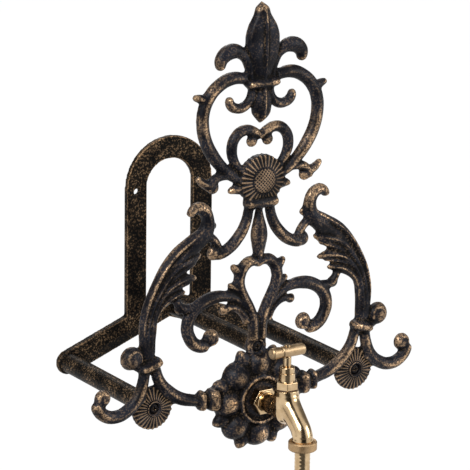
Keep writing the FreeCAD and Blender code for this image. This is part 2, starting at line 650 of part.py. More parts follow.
def make_gland_nut():
    bore, outer = "gland_spigot / 2 + thread_clearance", "gland_diameter / 2"
    stem = "stem_diameter / 2 + screw_clearance"
    roof = "gland_height - gland_top"
    return turned("gland_nut", UPRIGHT, ("0", SPINDLE_Y, BONNET_TOP), (
        (bore, "0"), (outer, "0"), (outer, "gland_height - nut_chamfer"),
        (f"{outer} - nut_chamfer", "gland_height"),
        (stem, "gland_height"), (stem, roof), (bore, roof)))


def make_lock_nut():
    at = ("0", f"{SEAT} + lock_nut_thickness", TAP_HEIGHT)
    nut = hexagon("lock_nut_blank", FORWARD, at, "lock_nut_flats", "lock_nut_thickness")
    bore = cylinder("lock_nut_bore", FORWARD, at, "inlet_thread + 2 * thread_clearance", "lock_nut_thickness")
    return cut("tap_lock_nut", nut, bore)


def make_valve():
    """Jumper in the spindle's foot, with the rubber washer and the nut that holds it."""
    stem, disc, pin = "jumper_stem / 2", "jumper_diameter / 2", "jumper_pin / 2"
    below = "valve_washer_thickness + washer_nut_height"
    jumper = turned("valve_jumper", UPRIGHT, ("0", SPINDLE_Y, f"{VALVE_FOOT} - washer_nut_height"), (
        ("0", "0"), (pin, "0"), (pin, below), (disc, below), (disc, f"{below} + jumper_thickness"),
        (stem, f"{below} + jumper_thickness"), (stem, f"{below} + jumper_thickness + jumper_stem_length"),
        ("0", f"{below} + jumper_thickness + jumper_stem_length")))
    washer = ring("valve_washer", UPRIGHT, ("0", SPINDLE_Y, VALVE_FOOT), "jumper_pin + 2 * thread_clearance",
                  "valve_washer_diameter", "valve_washer_thickness")
    nut_at = ("0", SPINDLE_Y, f"{VALVE_FOOT} - washer_nut_height")
    blank = hexagon("washer_nut_blank", UPRIGHT, nut_at, "washer_nut_flats", "washer_nut_height")
    bore = cylinder("washer_nut_bore", UPRIGHT, nut_at, "jumper_pin + 2 * thread_clearance",
                    "washer_nut_height")
    return [jumper, washer, cut("washer_nut", blank, bore)]


def make_spindle():
    """Stem with its thread inside the bonnet, a hole for the jumper below and a pin for the handle on top."""
    thread, stem, pin = "spindle_thread / 2", "stem_diameter / 2", "handle_pin / 2"
    hole = "jumper_stem / 2 + running_clearance"
    rise = f"{STEM_TOP} - ({SPINDLE_FOOT})"
    top = f"{rise} + handle_diameter + pin_show"
    return turned("spindle", UPRIGHT, ("0", SPINDLE_Y, SPINDLE_FOOT), (
        (hole, "0"), (thread, "0"), (thread, "spindle_thread_length"),
        (stem, "spindle_thread_length + stem_taper"), (stem, rise), (pin, rise), (pin, top), ("0", top),
        ("0", "jumper_stem_length + jumper_room"), (hole, "jumper_stem_length + jumper_room")))


def make_handle():
    """Turned bar across the spindle, with rounded ends and a groove."""
    radius, length, step = "handle_diameter / 2", "handle_length", "handle_diameter / 8"
    groove = f"{length} * 0.3"
    at = ("-handle_length / 2", SPINDLE_Y, f"{STEM_TOP} + handle_diameter / 2")
    bar = turned("handle_bar", SIDEWAYS, at, (
        ("0", "0"), (f"{radius} - {step}", "0"), (radius, step), (radius, f"{groove} - {step}"),
        (f"{radius} - {step} / 2", f"{groove} - {step} / 2"),
        (f"{radius} - {step} / 2", f"{groove} + {step} / 2"), (radius, f"{groove} + {step}"),
        (radius, f"{length} - {step}"), (f"{radius} - {step}", length), ("0", length)))
    hole = cylinder("handle_hole", UPRIGHT, ("0", SPINDLE_Y, STEM_TOP), "handle_pin + 2 * thread_clearance",
                    "handle_diameter")
    return cut("tee_handle", bar, hole)


UNION_FOOT = f"{SPOUT_FOOT} - union_washer - tail_collar - union_lip"


def make_union_nut():
    outer, bore = "union_diameter / 2", "inlet_thread / 2 + thread_clearance"
    lip = "tail_diameter / 2 + screw_clearance"
    return turned("union_nut", UPRIGHT, ("0", SPOUT_Y, UNION_FOOT), (
        (lip, "0"), (f"{outer} - nut_chamfer", "0"), (outer, "nut_chamfer"),
        (outer, "union_height - nut_chamfer"), (f"{outer} - nut_chamfer", "union_height"),
        (bore, "union_height"), (bore, "union_lip"), (lip, "union_lip")))


def make_hose_tail():
    """Collar inside the union nut and a tail with barbs for the hose."""
    bore, tail, collar = "tail_bore / 2", "tail_diameter / 2", "inlet_thread / 2 - screw_clearance"
    count = round(size("tail_barbs"))
    pitch = f"tail_length / ({count} + 1)"
    profile = [(bore, "0")]
    for index in range(count):
        profile.append((f"{tail} - barb_depth", f"{index} * {pitch}" if index else "0"))
        profile.append((tail, f"({index} + 0.75) * {pitch}"))
        profile.append((f"{tail} - barb_depth", f"({index} + 0.8) * {pitch}"))
    shoulder = "tail_length + union_lip"
    profile += [(f"{tail} - barb_depth", f"{count} * {pitch}"), (tail, f"{count} * {pitch} + barb_depth"),
                (tail, shoulder), (collar, shoulder), (collar, f"{shoulder} + tail_collar"),
                (bore, f"{shoulder} + tail_collar")]
    return turned("hose_tail", UPRIGHT, ("0", SPOUT_Y, f"{UNION_FOOT} - tail_length"), profile)


pieces = [make_wall_bracket(), make_front_panel(), make_panel_screws(), make_tap_body(), make_lock_nut(),
          make_bonnet(), make_gland_nut(), make_spindle(), make_handle(), make_union_nut(), make_hose_tail()]
pieces += make_seals() + make_valve()
doc.recompute()

for item in doc.Objects:
    if "Invalid" in item.State or "Error" in item.State:
        raise RuntimeError(f"{item.Label} failed: {item.State}")
for piece in pieces:
    if piece.Shape.isNull() or not piece.Shape.isValid():
        raise RuntimeError(f"{piece.Label} has no valid shape")

os.makedirs("parts", exist_ok=True)
for piece in pieces:
    piece.Shape.exportStep(f"parts/{piece.Label}.step")
    print(f"{piece.Label}: {len(piece.Shape.Solids)} solid(s), {piece.Shape.Volume / 1000:.2f} cm3")
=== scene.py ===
# %% [markdown]
# A cast hose hanger with a brass tap. The hanger is two iron castings, a plain wall bracket and an
# ornamental panel, with a polished bib tap in the flower at the foot of the panel. The solids come
# from the CAD frame. Here they get the soft edges of a sand casting, the gold that is rubbed over
# their ridges by hand, and the gloss of the brass.

# %% Load the frame
import math
import bpy
import numpy as np
from mathutils import Matrix, Vector


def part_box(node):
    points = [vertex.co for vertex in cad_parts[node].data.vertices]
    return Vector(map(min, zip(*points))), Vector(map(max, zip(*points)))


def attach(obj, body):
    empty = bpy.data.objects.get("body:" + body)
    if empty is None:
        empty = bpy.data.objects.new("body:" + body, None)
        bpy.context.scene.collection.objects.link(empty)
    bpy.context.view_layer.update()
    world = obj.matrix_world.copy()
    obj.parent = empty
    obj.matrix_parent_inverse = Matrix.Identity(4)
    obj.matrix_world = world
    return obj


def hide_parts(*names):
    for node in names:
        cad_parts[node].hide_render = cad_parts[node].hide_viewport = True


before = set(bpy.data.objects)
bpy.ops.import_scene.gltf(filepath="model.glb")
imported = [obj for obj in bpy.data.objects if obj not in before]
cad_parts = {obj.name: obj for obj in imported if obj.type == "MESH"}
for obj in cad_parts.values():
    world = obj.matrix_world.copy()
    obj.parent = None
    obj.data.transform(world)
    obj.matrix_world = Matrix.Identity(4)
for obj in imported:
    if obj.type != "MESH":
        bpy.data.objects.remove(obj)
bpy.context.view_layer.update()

# %% [markdown]
# Every step below works on one piece at a time. An operator acts on all that is selected, so these
# helpers clear the selection first and then pick one piece. New data, such as a mesh or a lamp,
# shows only when an object that holds it is linked to the scene.

# %% Helpers for objects
def deselect():
    bpy.ops.object.select_all(action="DESELECT")


def pick(piece):
    deselect()
    piece.select_set(True)
    bpy.context.view_layer.objects.active = piece


def apply_all(piece):
    pick(piece)
    for modifier in list(piece.modifiers):
        bpy.ops.object.modifier_apply(modifier=modifier.name)


def apply_place():
    bpy.ops.object.transform_apply(location=True, rotation=True, scale=True)


def add_object(name, data):
    piece = bpy.data.objects.new(name, data)
    bpy.context.scene.collection.objects.link(piece)
    return piece


print(len(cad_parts), "CAD nodes")

# %% [markdown]
# The photograph looks at the hanger from its left and a little from above, through a long lens. A
# camera with the same lens and angle makes the render comparable with the photograph line by line,
# so it comes before the pieces.

# %% Camera
SENSOR_WIDTH = 36.0
LENS = 232.36
CAMERA_PLACE = (-1.563765, -2.521091, 0.794450)
CAMERA_ANGLES = (74.0886, -0.7501, -32.9362)
lens = bpy.data.cameras.new("photo_camera")
lens.sensor_width = SENSOR_WIDTH
lens.lens = LENS
lens.clip_end = 20.0
camera = add_object("photo_camera", lens)
camera.location = CAMERA_PLACE
camera.rotation_euler = [math.radians(angle) for angle in CAMERA_ANGLES]
bpy.context.scene.camera = camera
bpy.context.scene.view_settings.view_transform = "Standard"
print("camera at", [round(value, 3) for value in camera.location])

# %% [markdown]
# A sand casting has no sharp edge anywhere: the metal rounds every corner of the mould a little.
# Bevelling thousands of edges one by one would be slow and fragile. A voxel remesh, followed by a
# few rounds of smoothing, rounds them all by the same amount, as the foundry does. The triangles of
# a CAD node are loose, so a copy of it has its doubles merged first.

# %% Recast a solid with soft edges
WELD = 0.00001


def merge_points(piece):
    pick(piece)
    bpy.ops.object.mode_set(mode="EDIT")
    bpy.ops.mesh.select_all(action="SELECT")
    bpy.ops.mesh.remove_doubles(threshold=WELD)
    bpy.ops.object.mode_set(mode="OBJECT")


def merged_copy(node, name):
    piece = add_object(name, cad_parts[node].data.copy())
    merge_points(piece)
    piece.data.materials.clear()
    return piece


def add_skin(piece, grain):
    skin = piece.modifiers.new("skin", "REMESH")
    skin.mode = "VOXEL"
    skin.voxel_size = grain


def add_smoothing(piece, rounds):
    soften = piece.modifiers.new("soften", "SMOOTH")
    soften.factor = 0.5
    soften.iterations = rounds
    return soften


def soften_skin(piece, grain, rounds):
    """Gives a piece a new skin of quads of the given size and rounds its edges."""
    add_skin(piece, grain)
    add_smoothing(piece, rounds)
    apply_all(piece)
    bpy.ops.object.shade_smooth()
    print(piece.name, len(piece.data.polygons), "faces")
    return piece


def recast(node, name, grain, rounds):
    return soften_skin(merged_copy(node, name), grain, rounds)


# %% [markdown]
# The gold is rubbed on with an almost dry cloth, so it stays on what stands proud and misses the
# hollows. How proud a point stands can be measured: the mesh is averaged over its neighbours, and
# the distance from the averaged surface, along the normal, is large on a ridge and negative in a
# groove. A few rounds of averaging find the sharp edges, and many rounds find the broad swellings,
# such as the petals. The two are kept on the points as attributes, which the material reads.

# %% Measure what stands proud
MOST_PROUD = 98
RUB_LIMITS = (-1.0, 1.4)


def read_points(piece, field):
    values = np.empty(3 * len(piece.data.vertices), np.float32)
    piece.data.vertices.foreach_get(field, values)
    return values.reshape(-1, 3).astype(float)


def points_of(piece):
    return read_points(piece, "co")


def normals_of(piece):
    return read_points(piece, "normal")


def edges_of(piece):
    ends = np.empty(2 * len(piece.data.edges), np.int32)
    piece.data.edges.foreach_get("vertices", ends)
    return ends.reshape(-1, 2)


def set_points(piece, points):
    piece.data.vertices.foreach_set("co", points.astype(np.float32).ravel())
    piece.data.update()


def neighbour_mean(values, edges):
    first, second = edges[:, 0], edges[:, 1]
    count = np.bincount(edges.ravel(), minlength=len(values))
    means = []
    for axis in range(values.shape[1]):
        total = np.bincount(first, values[second, axis], len(values))
        total += np.bincount(second, values[first, axis], len(values))
        means.append(total / np.maximum(count, 1))
    return np.stack(means, 1)


def proud_of(points, normals, edges, rounds):
    """How far each point stands out of the surface averaged over that many rounds, in metres."""
    averaged = points
    for step in range(rounds):
        averaged = neighbour_mean(averaged, edges)
    return ((points - averaged) * normals).sum(1)


def keep_value(piece, name, values):
    attribute = piece.data.attributes.new(name, "FLOAT", "POINT")
    attribute.data.foreach_set("value", values.astype(np.float32))
    print(piece.name, name, [round(float(value), 3) for value in np.percentile(values, (5, 50, 90, 98))])


def measure_rub(piece, edge_rounds, swell_rounds, more=0.0):
    """Writes edge and swell, each about 1 where the piece stands out most and 0 where it is flat."""
    points, normals, edges = points_of(piece), normals_of(piece), edges_of(piece)
    for name, rounds, extra in (("edge", edge_rounds, 0.0), ("swell", swell_rounds, more)):
        proud = proud_of(points, normals, edges, rounds)
        proud = proud / np.percentile(proud, MOST_PROUD) + extra
        keep_value(piece, name, np.clip(proud, *RUB_LIMITS))
    keep_value(piece, "front", np.clip(-normals[:, 1], 0.0, 1.0))


# %% [markdown]
# The panel is drawn in strokes, as its pattern maker carved it. A stroke is a curve that runs
# smoothly through a few drawn places, with a width at each of them, so that it swells and tapers.
# One section, a rounded bar with a slight crest, is the bevel of nearly all the curves. The places
# are those of the solid, in millimetres across and up from the middle of the outer bars, so the
# strokes lie where the solid's do, only without its facets.

# %% Section of a stroke
MM = 0.001
BAR_HEIGHT = -0.167
PANEL_BACK = -0.166
CREST_SPREAD = 0.008
SECTION = ((-0.5, 0.0), (-0.5, 0.2), (-0.44, 0.42), (-0.30, 0.63), (-0.13, 0.82), (0.0, 1.0),
           (0.13, 0.82), (0.30, 0.63), (0.44, 0.42), (0.5, 0.2), (0.5, 0.0))
ROUND_SECTION = ((-0.5, 0.0), (-0.5, 0.3), (-0.45, 0.5), (-0.34, 0.7), (-0.18, 0.9), (0.0, 1.0),
                 (0.18, 0.9), (0.34, 0.7), (0.45, 0.5), (0.5, 0.3), (0.5, 0.0))


def section_curve(name, corners):
    line = bpy.data.curves.new(name, "CURVE")
    run = line.splines.new("POLY")
    run.points.add(len(corners) - 1)
    for point, (aside, rise) in zip(run.points, corners):
        point.co = (aside, rise, 0.0, 1.0)
    run.use_cyclic_u = True
    return add_object(name, line)


crested = section_curve("crested_section", SECTION)
rounded = section_curve("rounded_section", ROUND_SECTION)


def cast_strokes(name, strokes, crest, section):
    """Strokes on the back plane of the panel; the wide ones have crests near the given height."""
    line = bpy.data.curves.new(name, "CURVE")
    line.dimensions = "2D"
    line.resolution_u = 10
    line.bevel_mode = "OBJECT"
    line.bevel_object = section
    line.use_fill_caps = True
    for places in strokes:
        run = line.splines.new("BEZIER")
        run.radius_interpolation = "CARDINAL"
        run.bezier_points.add(len(places) - 1)
        for point, (across, up, width) in zip(run.bezier_points, places):
            point.co = (across * MM, up * MM, 0.0)
            point.radius = width * MM
            point.handle_left_type = "AUTO"
            point.handle_right_type = "AUTO"
    piece = add_object(name, line)
    pick(piece)
    bpy.ops.object.convert(target="MESH")
    merge_points(piece)
    points = points_of(piece)
    rise = crest * (1.0 - np.exp(-points[:, 2] / CREST_SPREAD))
    set_points(piece, np.stack((points[:, 0], PANEL_BACK - rise, points[:, 1] + BAR_HEIGHT), 1))
    print(name, len(strokes), "strokes")
    return piece


def mirror_copy(piece):
    other = add_object(f"{piece.name}_left", piece.data.copy())
    other.data.transform(Matrix.Scale(-1.0, 4, (1.0, 0.0, 0.0)))
    other.data.flip_normals()
    return other


# %% [markdown]
# These are the strokes of the right half, from the ring at the top down to the branches that carry
# the rosettes. The left half is their mirror image.

# %% Strokes of the scrollwork
RIGHT_STROKES = {
    "ring": ((18, 314, 11), (34, 315.5, 13), (49, 309.5, 13), (59.5, 299, 13), (65, 286, 13), (65.5, 272, 13),
             (62, 257.5, 13), (54.5, 243.5, 13), (44, 230.5, 12), (32, 220, 11), (20, 213, 8)),
    "ring nub": ((60, 296, 9), (68, 299.5, 9), (75, 301.5, 6), (76.5, 302, 3)),
    "fleur petal": ((12, 311, 7), (14.5, 325, 9), (21, 337, 11), (33, 342, 15), (45, 336, 14),
                    (46.5, 327, 10), (46.6, 324.5, 5)),
    "lower curl": ((10, 305, 8), (12.5, 293, 9), (19, 286.5, 10), (27, 285.5, 10), (34.5, 290, 10),
                   (36, 296, 8), (36.2, 298, 4)),
    "upper heart": ((22, 224, 8), (30, 235, 10), (32.5, 246, 11), (29, 257, 11), (19.5, 263, 11),
                    (8, 261, 10), (-2, 255, 7)),
    "shell ear": ((20, 206, 12), (28, 206, 10), (34.5, 204.5, 6), (36, 204, 3)),
    "sprig": ((22, 216, 7), (42, 221, 9), (54, 217.5, 9), (59, 208, 8)),
    "sprig leaf": ((54, 213, 8), (63, 216, 9), (70.5, 222, 6), (72, 223.3, 3)),
    "arm": ((11, 190, 10), (15.5, 171, 11), (24.5, 157, 12), (36, 147.5, 12), (48, 143.5, 11),
            (51, 143.2, 6)),
    "arm link": ((44, 146, 8), (50, 157, 9), (60, 166, 9)),
    "lower heart": ((-2, 128, 8), (9, 131.5, 11), (17, 127, 12), (21.5, 118, 12), (21.5, 108, 12),
                    (17, 97, 12), (10.5, 85, 12), (5.5, 72, 12), (4, 52, 12)),
    "heart leaf upper": ((18, 118, 10), (25, 125, 10), (30, 129, 6), (31.3, 130, 3)),
    "heart leaf lower": ((18, 101, 10), (27, 107, 9), (33, 110.5, 6), (34.5, 111.3, 3)),
    "long scroll": ((13, 84, 8), (25.5, 96, 10), (38.5, 100.5, 11), (52.5, 101, 13), (66, 97, 13),
                    (76.5, 88.5, 13), (81, 77, 13), (78.5, 65.5, 13), (70.5, 56, 13), (60, 53.5, 12),
                    (57, 53.8, 6)),
    "spur": ((12, 70, 8), (19, 82, 8), (30, 88, 8), (40, 86, 7)),
    "scroll link": ((76, 95, 9), (86, 95, 9), (94, 105, 8)),
    "leaf tip": ((98, 139, 3), (85, 150, 11), (72, 160, 18), (60, 170, 15), (58.5, 182, 12), (64, 191.5, 12),
                 (73, 193, 11), (79, 187.5, 8), (80, 186, 4)),
    "inner branch": ((118, 44, 11), (111.5, 26, 12), (101, 14, 13), (88, 5, 13), (70, -0.5, 12)),
    "outer branch": ((128, 44, 11), (131, 26, 12), (136.5, 13, 13), (147, 3.5, 13), (161, -1, 13),
                     (174.5, 3.5, 13), (182, 14, 12), (183, 17, 6)),
    "branch stem": ((145, 54, 12), (136, 46, 11), (126, 40, 11)),
    "rosette stay": ((130.5, 9.5, 10), (132.5, 12, 9.5), (134, 14, 9)),
    "rosette stay inner": ((105.5, 10, 10), (103.5, 12.5, 9.5), (102, 15, 9)),
    "knuckle": ((78, 1, 10), (60, -1, 11), (40, -3, 13)),
}
CENTRE_STROKES = {
    "fleur blade": ((0, 387.5, 1), (0, 382, 12.8), (0, 374, 18.5), (0, 367, 27), (0, 358, 34), (0, 350, 35.6),
                    (0, 340, 34), (0, 325, 25), (0, 310, 16)),
    "fleur bud": ((0, 306, 15), (0, 290, 20), (0, 283, 20.5), (0, 276, 16), (0, 267, 1)),
    "long bud": ((0, 192, 5), (0, 176, 10), (0, 160, 17.2), (0, 148, 15), (0, 136, 10), (0, 127, 5)),
    "shell neck": ((0, 214, 46), (0, 203, 38), (0, 190, 34)),
}
STEM = ((0, 66, 17), (0, 52, 21), (0, 42, 17), (0, 36, 5))
STEM_CREST = 0.0068
STROKE_CREST = 0.012
right_strokes = cast_strokes("right_strokes", RIGHT_STROKES.values(), STROKE_CREST, crested)
casting_pieces = [cast_strokes("centre_strokes", CENTRE_STROKES.values(), STROKE_CREST, crested)]
casting_pieces.append(cast_strokes("stem", [STEM], STEM_CREST, crested))

# %% [markdown]
# Each side has an acanthus leaf. Its blade and lobes are low, wide strokes, and narrow high ones
# run over them from the foot of the leaf to the tip of each lobe, so that the leaf looks combed.
# Two more such ribs run down the blade and the bud of the fleur.

# %% Acanthus leaves
LEAF_BLADES = {
    "blade": ((123.5, 44, 14), (126, 70, 17), (124, 94, 18), (113, 119.5, 19), (94, 143, 24), (72, 160, 20),
              (62, 168, 15)),
    "lower lobe": ((122, 92, 10), (110, 104, 12), (96, 110, 11), (83.5, 111.5, 5), (81.5, 111.5, 2)),
    "middle lobe": ((120, 104, 12), (106, 118, 15), (90, 124, 14), (71, 124, 5), (69, 124, 2)),
    "upper lobe": ((110, 122, 14), (94, 136, 18), (80, 141, 14), (67, 146, 6), (64.5, 147, 3)),
}
LEAF_RIBS = {
    "outer rib": ((129, 52, 4), (131.5, 72, 5), (129.5, 96, 5.5), (118, 124, 6), (100, 148, 6), (76, 165, 6),
                  (65, 172, 5)),
    "upper rib": ((126, 50, 4), (127.5, 72, 5), (124.5, 95, 5), (112, 119, 5), (95, 137.5, 6), (80, 143, 5),
                  (70, 146, 3)),
    "upper low rib": ((108, 119, 3), (96, 129, 4), (83, 134.5, 4), (72, 138, 2.5)),
    "middle rib": ((122, 50, 4), (123, 72, 5), (120, 93, 5), (108, 114, 5), (93, 123.5, 6), (75, 125, 3)),
    "middle low rib": ((112, 108, 3), (101, 115, 4), (90, 118, 4), (79, 119.5, 2.5)),
    "lower rib": ((118.5, 56, 3), (119, 76, 4.5), (116, 93, 4.5), (108, 103, 4.5), (96, 110, 5),
                  (86, 111.5, 3)),
    "tip rib": ((84, 159, 3), (72, 166, 4.5), (64.5, 175, 4.5), (64, 183, 4), (68, 188, 3)),
}
CENTRE_RIBS = {
    "blade rib": ((0, 380, 4), (0, 370, 5), (0, 350, 5.5), (0, 330, 5), (0, 314, 4)),
    "bud rib": ((0, 303, 4.5), (0, 290, 5), (0, 274, 4)),
}
LEAF_CREST = 0.0085
RIB_CREST = 0.0205
CENTRE_RIB_CREST = 0.030
leaf_blades = cast_strokes("leaf_blades", LEAF_BLADES.values(), LEAF_CREST, crested)
leaf_ribs = cast_strokes("leaf_ribs", LEAF_RIBS.values(), RIB_CREST, crested)
casting_pieces.append(cast_strokes("centre_ribs", CENTRE_RIBS.values(), CENTRE_RIB_CREST, crested))

# %% [markdown]
# Bands clasp the strokes where they meet. They are short strokes across the others, higher than
# they are, and have a rounder section.

# %% Clasps
RIGHT_CLASPS = {
    "branch clasp": ((111, 49, 4), (113.5, 48.2, 9), (123, 45.5, 10.5), (133, 42.5, 9), (135.5, 41.8, 4)),
    "knuckle bead": ((53, -13, 5), (53, -10, 12), (53, -2, 14), (53, 7, 12), (53, 10, 5)),
    "knuckle ring": ((65, -11.5, 3), (65, -9, 8), (65, -1.2, 9), (65, 7, 8), (65, 9.5, 3)),
}
CENTRE_CLASPS = {
    "fleur clasp": ((-19, 308.7, 4), (-16, 308.7, 9), (0, 308.7, 10.5), (16, 308.7, 9), (19, 308.7, 4)),
    "shell collar": ((-18.5, 191, 5), (-15.5, 191, 11), (0, 191, 12), (15.5, 191, 11), (18.5, 191, 5)),
}
CLASP_CREST = 0.0190
right_clasps = cast_strokes("right_clasps", RIGHT_CLASPS.values(), CLASP_CREST, rounded)
casting_pieces.append(cast_strokes("centre_clasps", CENTRE_CLASPS.values(), CLASP_CREST, rounded))

# %% [markdown]
# The scrolls end in round knobs. A knob starts as a ball on the back plane of the panel, and its
# back half is pressed flat against that plane. A narrow stroke winds inwards over the three large
# ones, which makes them volutes.

# %% Knobs and volutes
RIGHT_KNOBS = ((9, 251.5, 6.5), (53, 211, 7), (51, 146, 8), (54, 61, 9), (39, 86.5, 5.5), (89, 96, 6.5),
               (52, 173, 4.5), (143.5, 54.7, 12), (175, 20, 9))
VOLUTES = ((143.5, 54.7, 12.0, 205.0, -1.0), (54.0, 61.0, 9.0, -70.0, -1.0), (175.0, 20.0, 9.0, -25.0, 1.0))
VOLUTE_CREST = 0.0195
VOLUTE_STEPS = 7
VOLUTE_TURN = 68.0
VOLUTE_START = 0.78
VOLUTE_TIGHTENING = 0.085
VOLUTE_WIDTH = 0.55


def knob(across, height, radius):
    deselect()
    bpy.ops.mesh.primitive_uv_sphere_add(segments=40, ring_count=20, radius=radius,
                                         location=(0.0, 0.0, 0.0))
    piece = bpy.context.object
    points = points_of(piece)
    points[:, 1] = np.minimum(points[:, 1], 0.0)
    set_points(piece, points + np.array((across, PANEL_BACK, height)))
    return piece


def volute(across, up, radius, start, turn):
    places = []
    for step in range(VOLUTE_STEPS):
        angle = math.radians(start + turn * VOLUTE_TURN * step)
        reach = radius * (VOLUTE_START - VOLUTE_TIGHTENING * step)
        places.append((across + reach * math.cos(angle), up + reach * math.sin(angle), radius * VOLUTE_WIDTH))
    return places


volutes = cast_strokes("volutes", [volute(*place) for place in VOLUTES], VOLUTE_CREST, crested)
right_knobs = [knob(across * MM, up * MM + BAR_HEIGHT, radius * MM) for across, up, radius in RIGHT_KNOBS]

# %% [markdown]
# The flower round the tap has eight petals, which are larger knobs, and a leaf shows between every
# two of them.

# %% Petals and leaves of the flower
FLOWER_HEIGHT = -0.1755
PETALS = 8
PETAL_RADIUS = 0.0155
PETAL_CIRCLE = 0.035
LEAF_REACHES = ((23.2, 15.5), (36.0, 17.0), (46.0, 15.0), (51.5, 10.0), (54.5, 4.0))
flower_up = (FLOWER_HEIGHT - BAR_HEIGHT) / MM
flower_leaves = []
for index in range(PETALS):
    angle = 2.0 * math.pi * index / PETALS
    across, height = PETAL_CIRCLE * math.cos(angle), FLOWER_HEIGHT + PETAL_CIRCLE * math.sin(angle)
    casting_pieces.append(knob(across, height, PETAL_RADIUS))
    angle += math.pi / PETALS
    flower_leaves.append([(reach * math.cos(angle), flower_up + reach * math.sin(angle), width)
                          for reach, width in LEAF_REACHES])
casting_pieces.append(cast_strokes("flower_leaves", flower_leaves, STROKE_CREST, crested))

# %% [markdown]
# Plain discs carry the flower, the hub that the tap stands in and the boss of the upper screw. The
# rosettes and the shell are balls pressed into a ribbed mould: the cosine of the angle round the
# middle gives their ribs.

# %% Shapes of the bosses
SCALLOP = 0.06


def disc(across, height, radius, back, front):
    deselect()
    bpy.ops.mesh.primitive_cylinder_add(vertices=96, radius=radius, depth=back - front,
                                        location=(across, (back + front) / 2, height),
                                        rotation=(math.radians(90), 0.0, 0.0))
    apply_place()
    return bpy.context.object


def ribbed_boss(across, back, height, radius, ribs, eye_share, rises):
    """Ribs widen from a round eye to a scalloped rim; rises are those of eye, crest and hollow."""
    eye_rise, crest_rise, hollow_rise = rises
    deselect()
    bpy.ops.mesh.primitive_uv_sphere_add(segments=8 * ribs, ring_count=40, radius=radius,
                                         location=(0.0, 0.0, 0.0))
    piece = bpy.context.object
    points = points_of(piece)
    share = np.hypot(points[:, 0], points[:, 1]) / radius
    outward = np.clip((share - eye_share) / (1.0 - eye_share), 0.0, 1.0)
    crests = 0.5 + 0.5 * np.cos(ribs * np.arctan2(points[:, 1], points[:, 0]))
    rise = eye_rise + outward * (hollow_rise + (crest_rise - hollow_rise) * crests - eye_rise)
    rise *= points[:, 2] > WELD
    reach = 1.0 - SCALLOP * (1.0 - crests) * outward
    set_points(piece, np.stack((across + points[:, 0] * reach, back - rise,
                                height + points[:, 1] * reach), 1))
    return piece


# %% [markdown]
# These are their places: the hub and the bosses reach back to the bar ends, and the shell lies
# under the upper heart. The eye of the shell is a knob pressed almost flat.

# %% Hub, rosettes and shell
SEAT = -0.162
FACE = -0.170
FLOWER_PLATE = 0.006
HUB_RADIUS = 0.025
HUB_RISE = 0.011
CENTRE_SCREW_HEIGHT = -0.1234
SCREW_BOSS_RADIUS = 0.011
ROSETTE_ACROSS = 0.118
ROSETTE_RADIUS = 0.0225
ROSETTE_RIBS = 28
ROSETTE_EYE = 0.36
ROSETTE_RISES = (0.0086, 0.0066, 0.0042)
SHELL_HEIGHT = 0.046
SHELL_RADIUS = 0.0255
SHELL_RIBS = 30
SHELL_EYE = 0.5
SHELL_RISES = (0.0122, 0.0098, 0.0062)
EYE_RADIUS = 0.0125
EYE_BASE = 0.0110
EYE_FLATTENING = 0.32
casting_pieces.append(disc(0.0, FLOWER_HEIGHT, PETAL_CIRCLE, PANEL_BACK, PANEL_BACK - FLOWER_PLATE))
casting_pieces.append(disc(0.0, FLOWER_HEIGHT, HUB_RADIUS, SEAT, FACE - HUB_RISE))
casting_pieces.append(disc(0.0, CENTRE_SCREW_HEIGHT, SCREW_BOSS_RADIUS, SEAT, FACE))
for across in (-ROSETTE_ACROSS, ROSETTE_ACROSS):
    casting_pieces.append(ribbed_boss(across, SEAT, BAR_HEIGHT, ROSETTE_RADIUS, ROSETTE_RIBS, ROSETTE_EYE,
                                      ROSETTE_RISES))
casting_pieces.append(ribbed_boss(0.0, PANEL_BACK, SHELL_HEIGHT, SHELL_RADIUS, SHELL_RIBS, SHELL_EYE,
                                  SHELL_RISES))
shell_eye = knob(0.0, SHELL_HEIGHT, EYE_RADIUS)
points = points_of(shell_eye)
points[:, 1] = PANEL_BACK - EYE_BASE + EYE_FLATTENING * (points[:, 1] - PANEL_BACK)
set_points(shell_eye, points)
casting_pieces.append(shell_eye)
print(len(casting_pieces), "pieces before the mirror")

# %% [markdown]
# Now the casting is poured: all the pieces and their mirror images are joined, and a voxel remesh
# makes one skin of them.

# %% Pour the panel
POUR_GRAIN = 0.00115


def join_pieces(pieces):
    pick(pieces[0])
    for piece in pieces:
        piece.select_set(True)
    bpy.ops.object.join()
    return pieces[0]


for piece in [right_strokes, leaf_blades, leaf_ribs, right_clasps, volutes] + right_knobs:
    casting_pieces += [piece, mirror_copy(piece)]
bpy.data.objects.remove(crested)
bpy.data.objects.remove(rounded)
panel = join_pieces(casting_pieces)
panel.name = "panel_casting"
panel.data.name = "panel_casting"
add_skin(panel, POUR_GRAIN)
apply_all(panel)
print("poured", len(panel.data.polygons), "faces")

# %% [markdown]
# The holes for the tap and the screws are drilled from the front, the widest first, with booleans.
# The second skin rounds the edges that the drill leaves. Its grain is the size of the quads: a
# little over a millimetre keeps the ribs of the rosettes and stays under two hundred thousand
# triangles. The bracket is a recast copy of its solid.

# %% Drill and soften the castings
BEHIND = -0.150
AHEAD = -0.190
DISH_RADIUS = 0.0215
DISH_FLOOR = -0.177
DISH_AHEAD = -0.200
TAP_HOLE_RADIUS = 0.0107
SCREW_MOUTH_RADIUS = 0.0085
SCREW_HEAD_RADIUS = 0.0058
SCREW_HEAD_SEAT = -0.1664
SHANK_RADIUS = 0.0033
SHANK_AHEAD = -0.175
PANEL_GRAIN = 0.00134
BRACKET_GRAIN = 0.0012
SCREW_HEADS = ((-ROSETTE_ACROSS, BAR_HEIGHT), (ROSETTE_ACROSS, BAR_HEIGHT), (0.0, CENTRE_SCREW_HEIGHT))


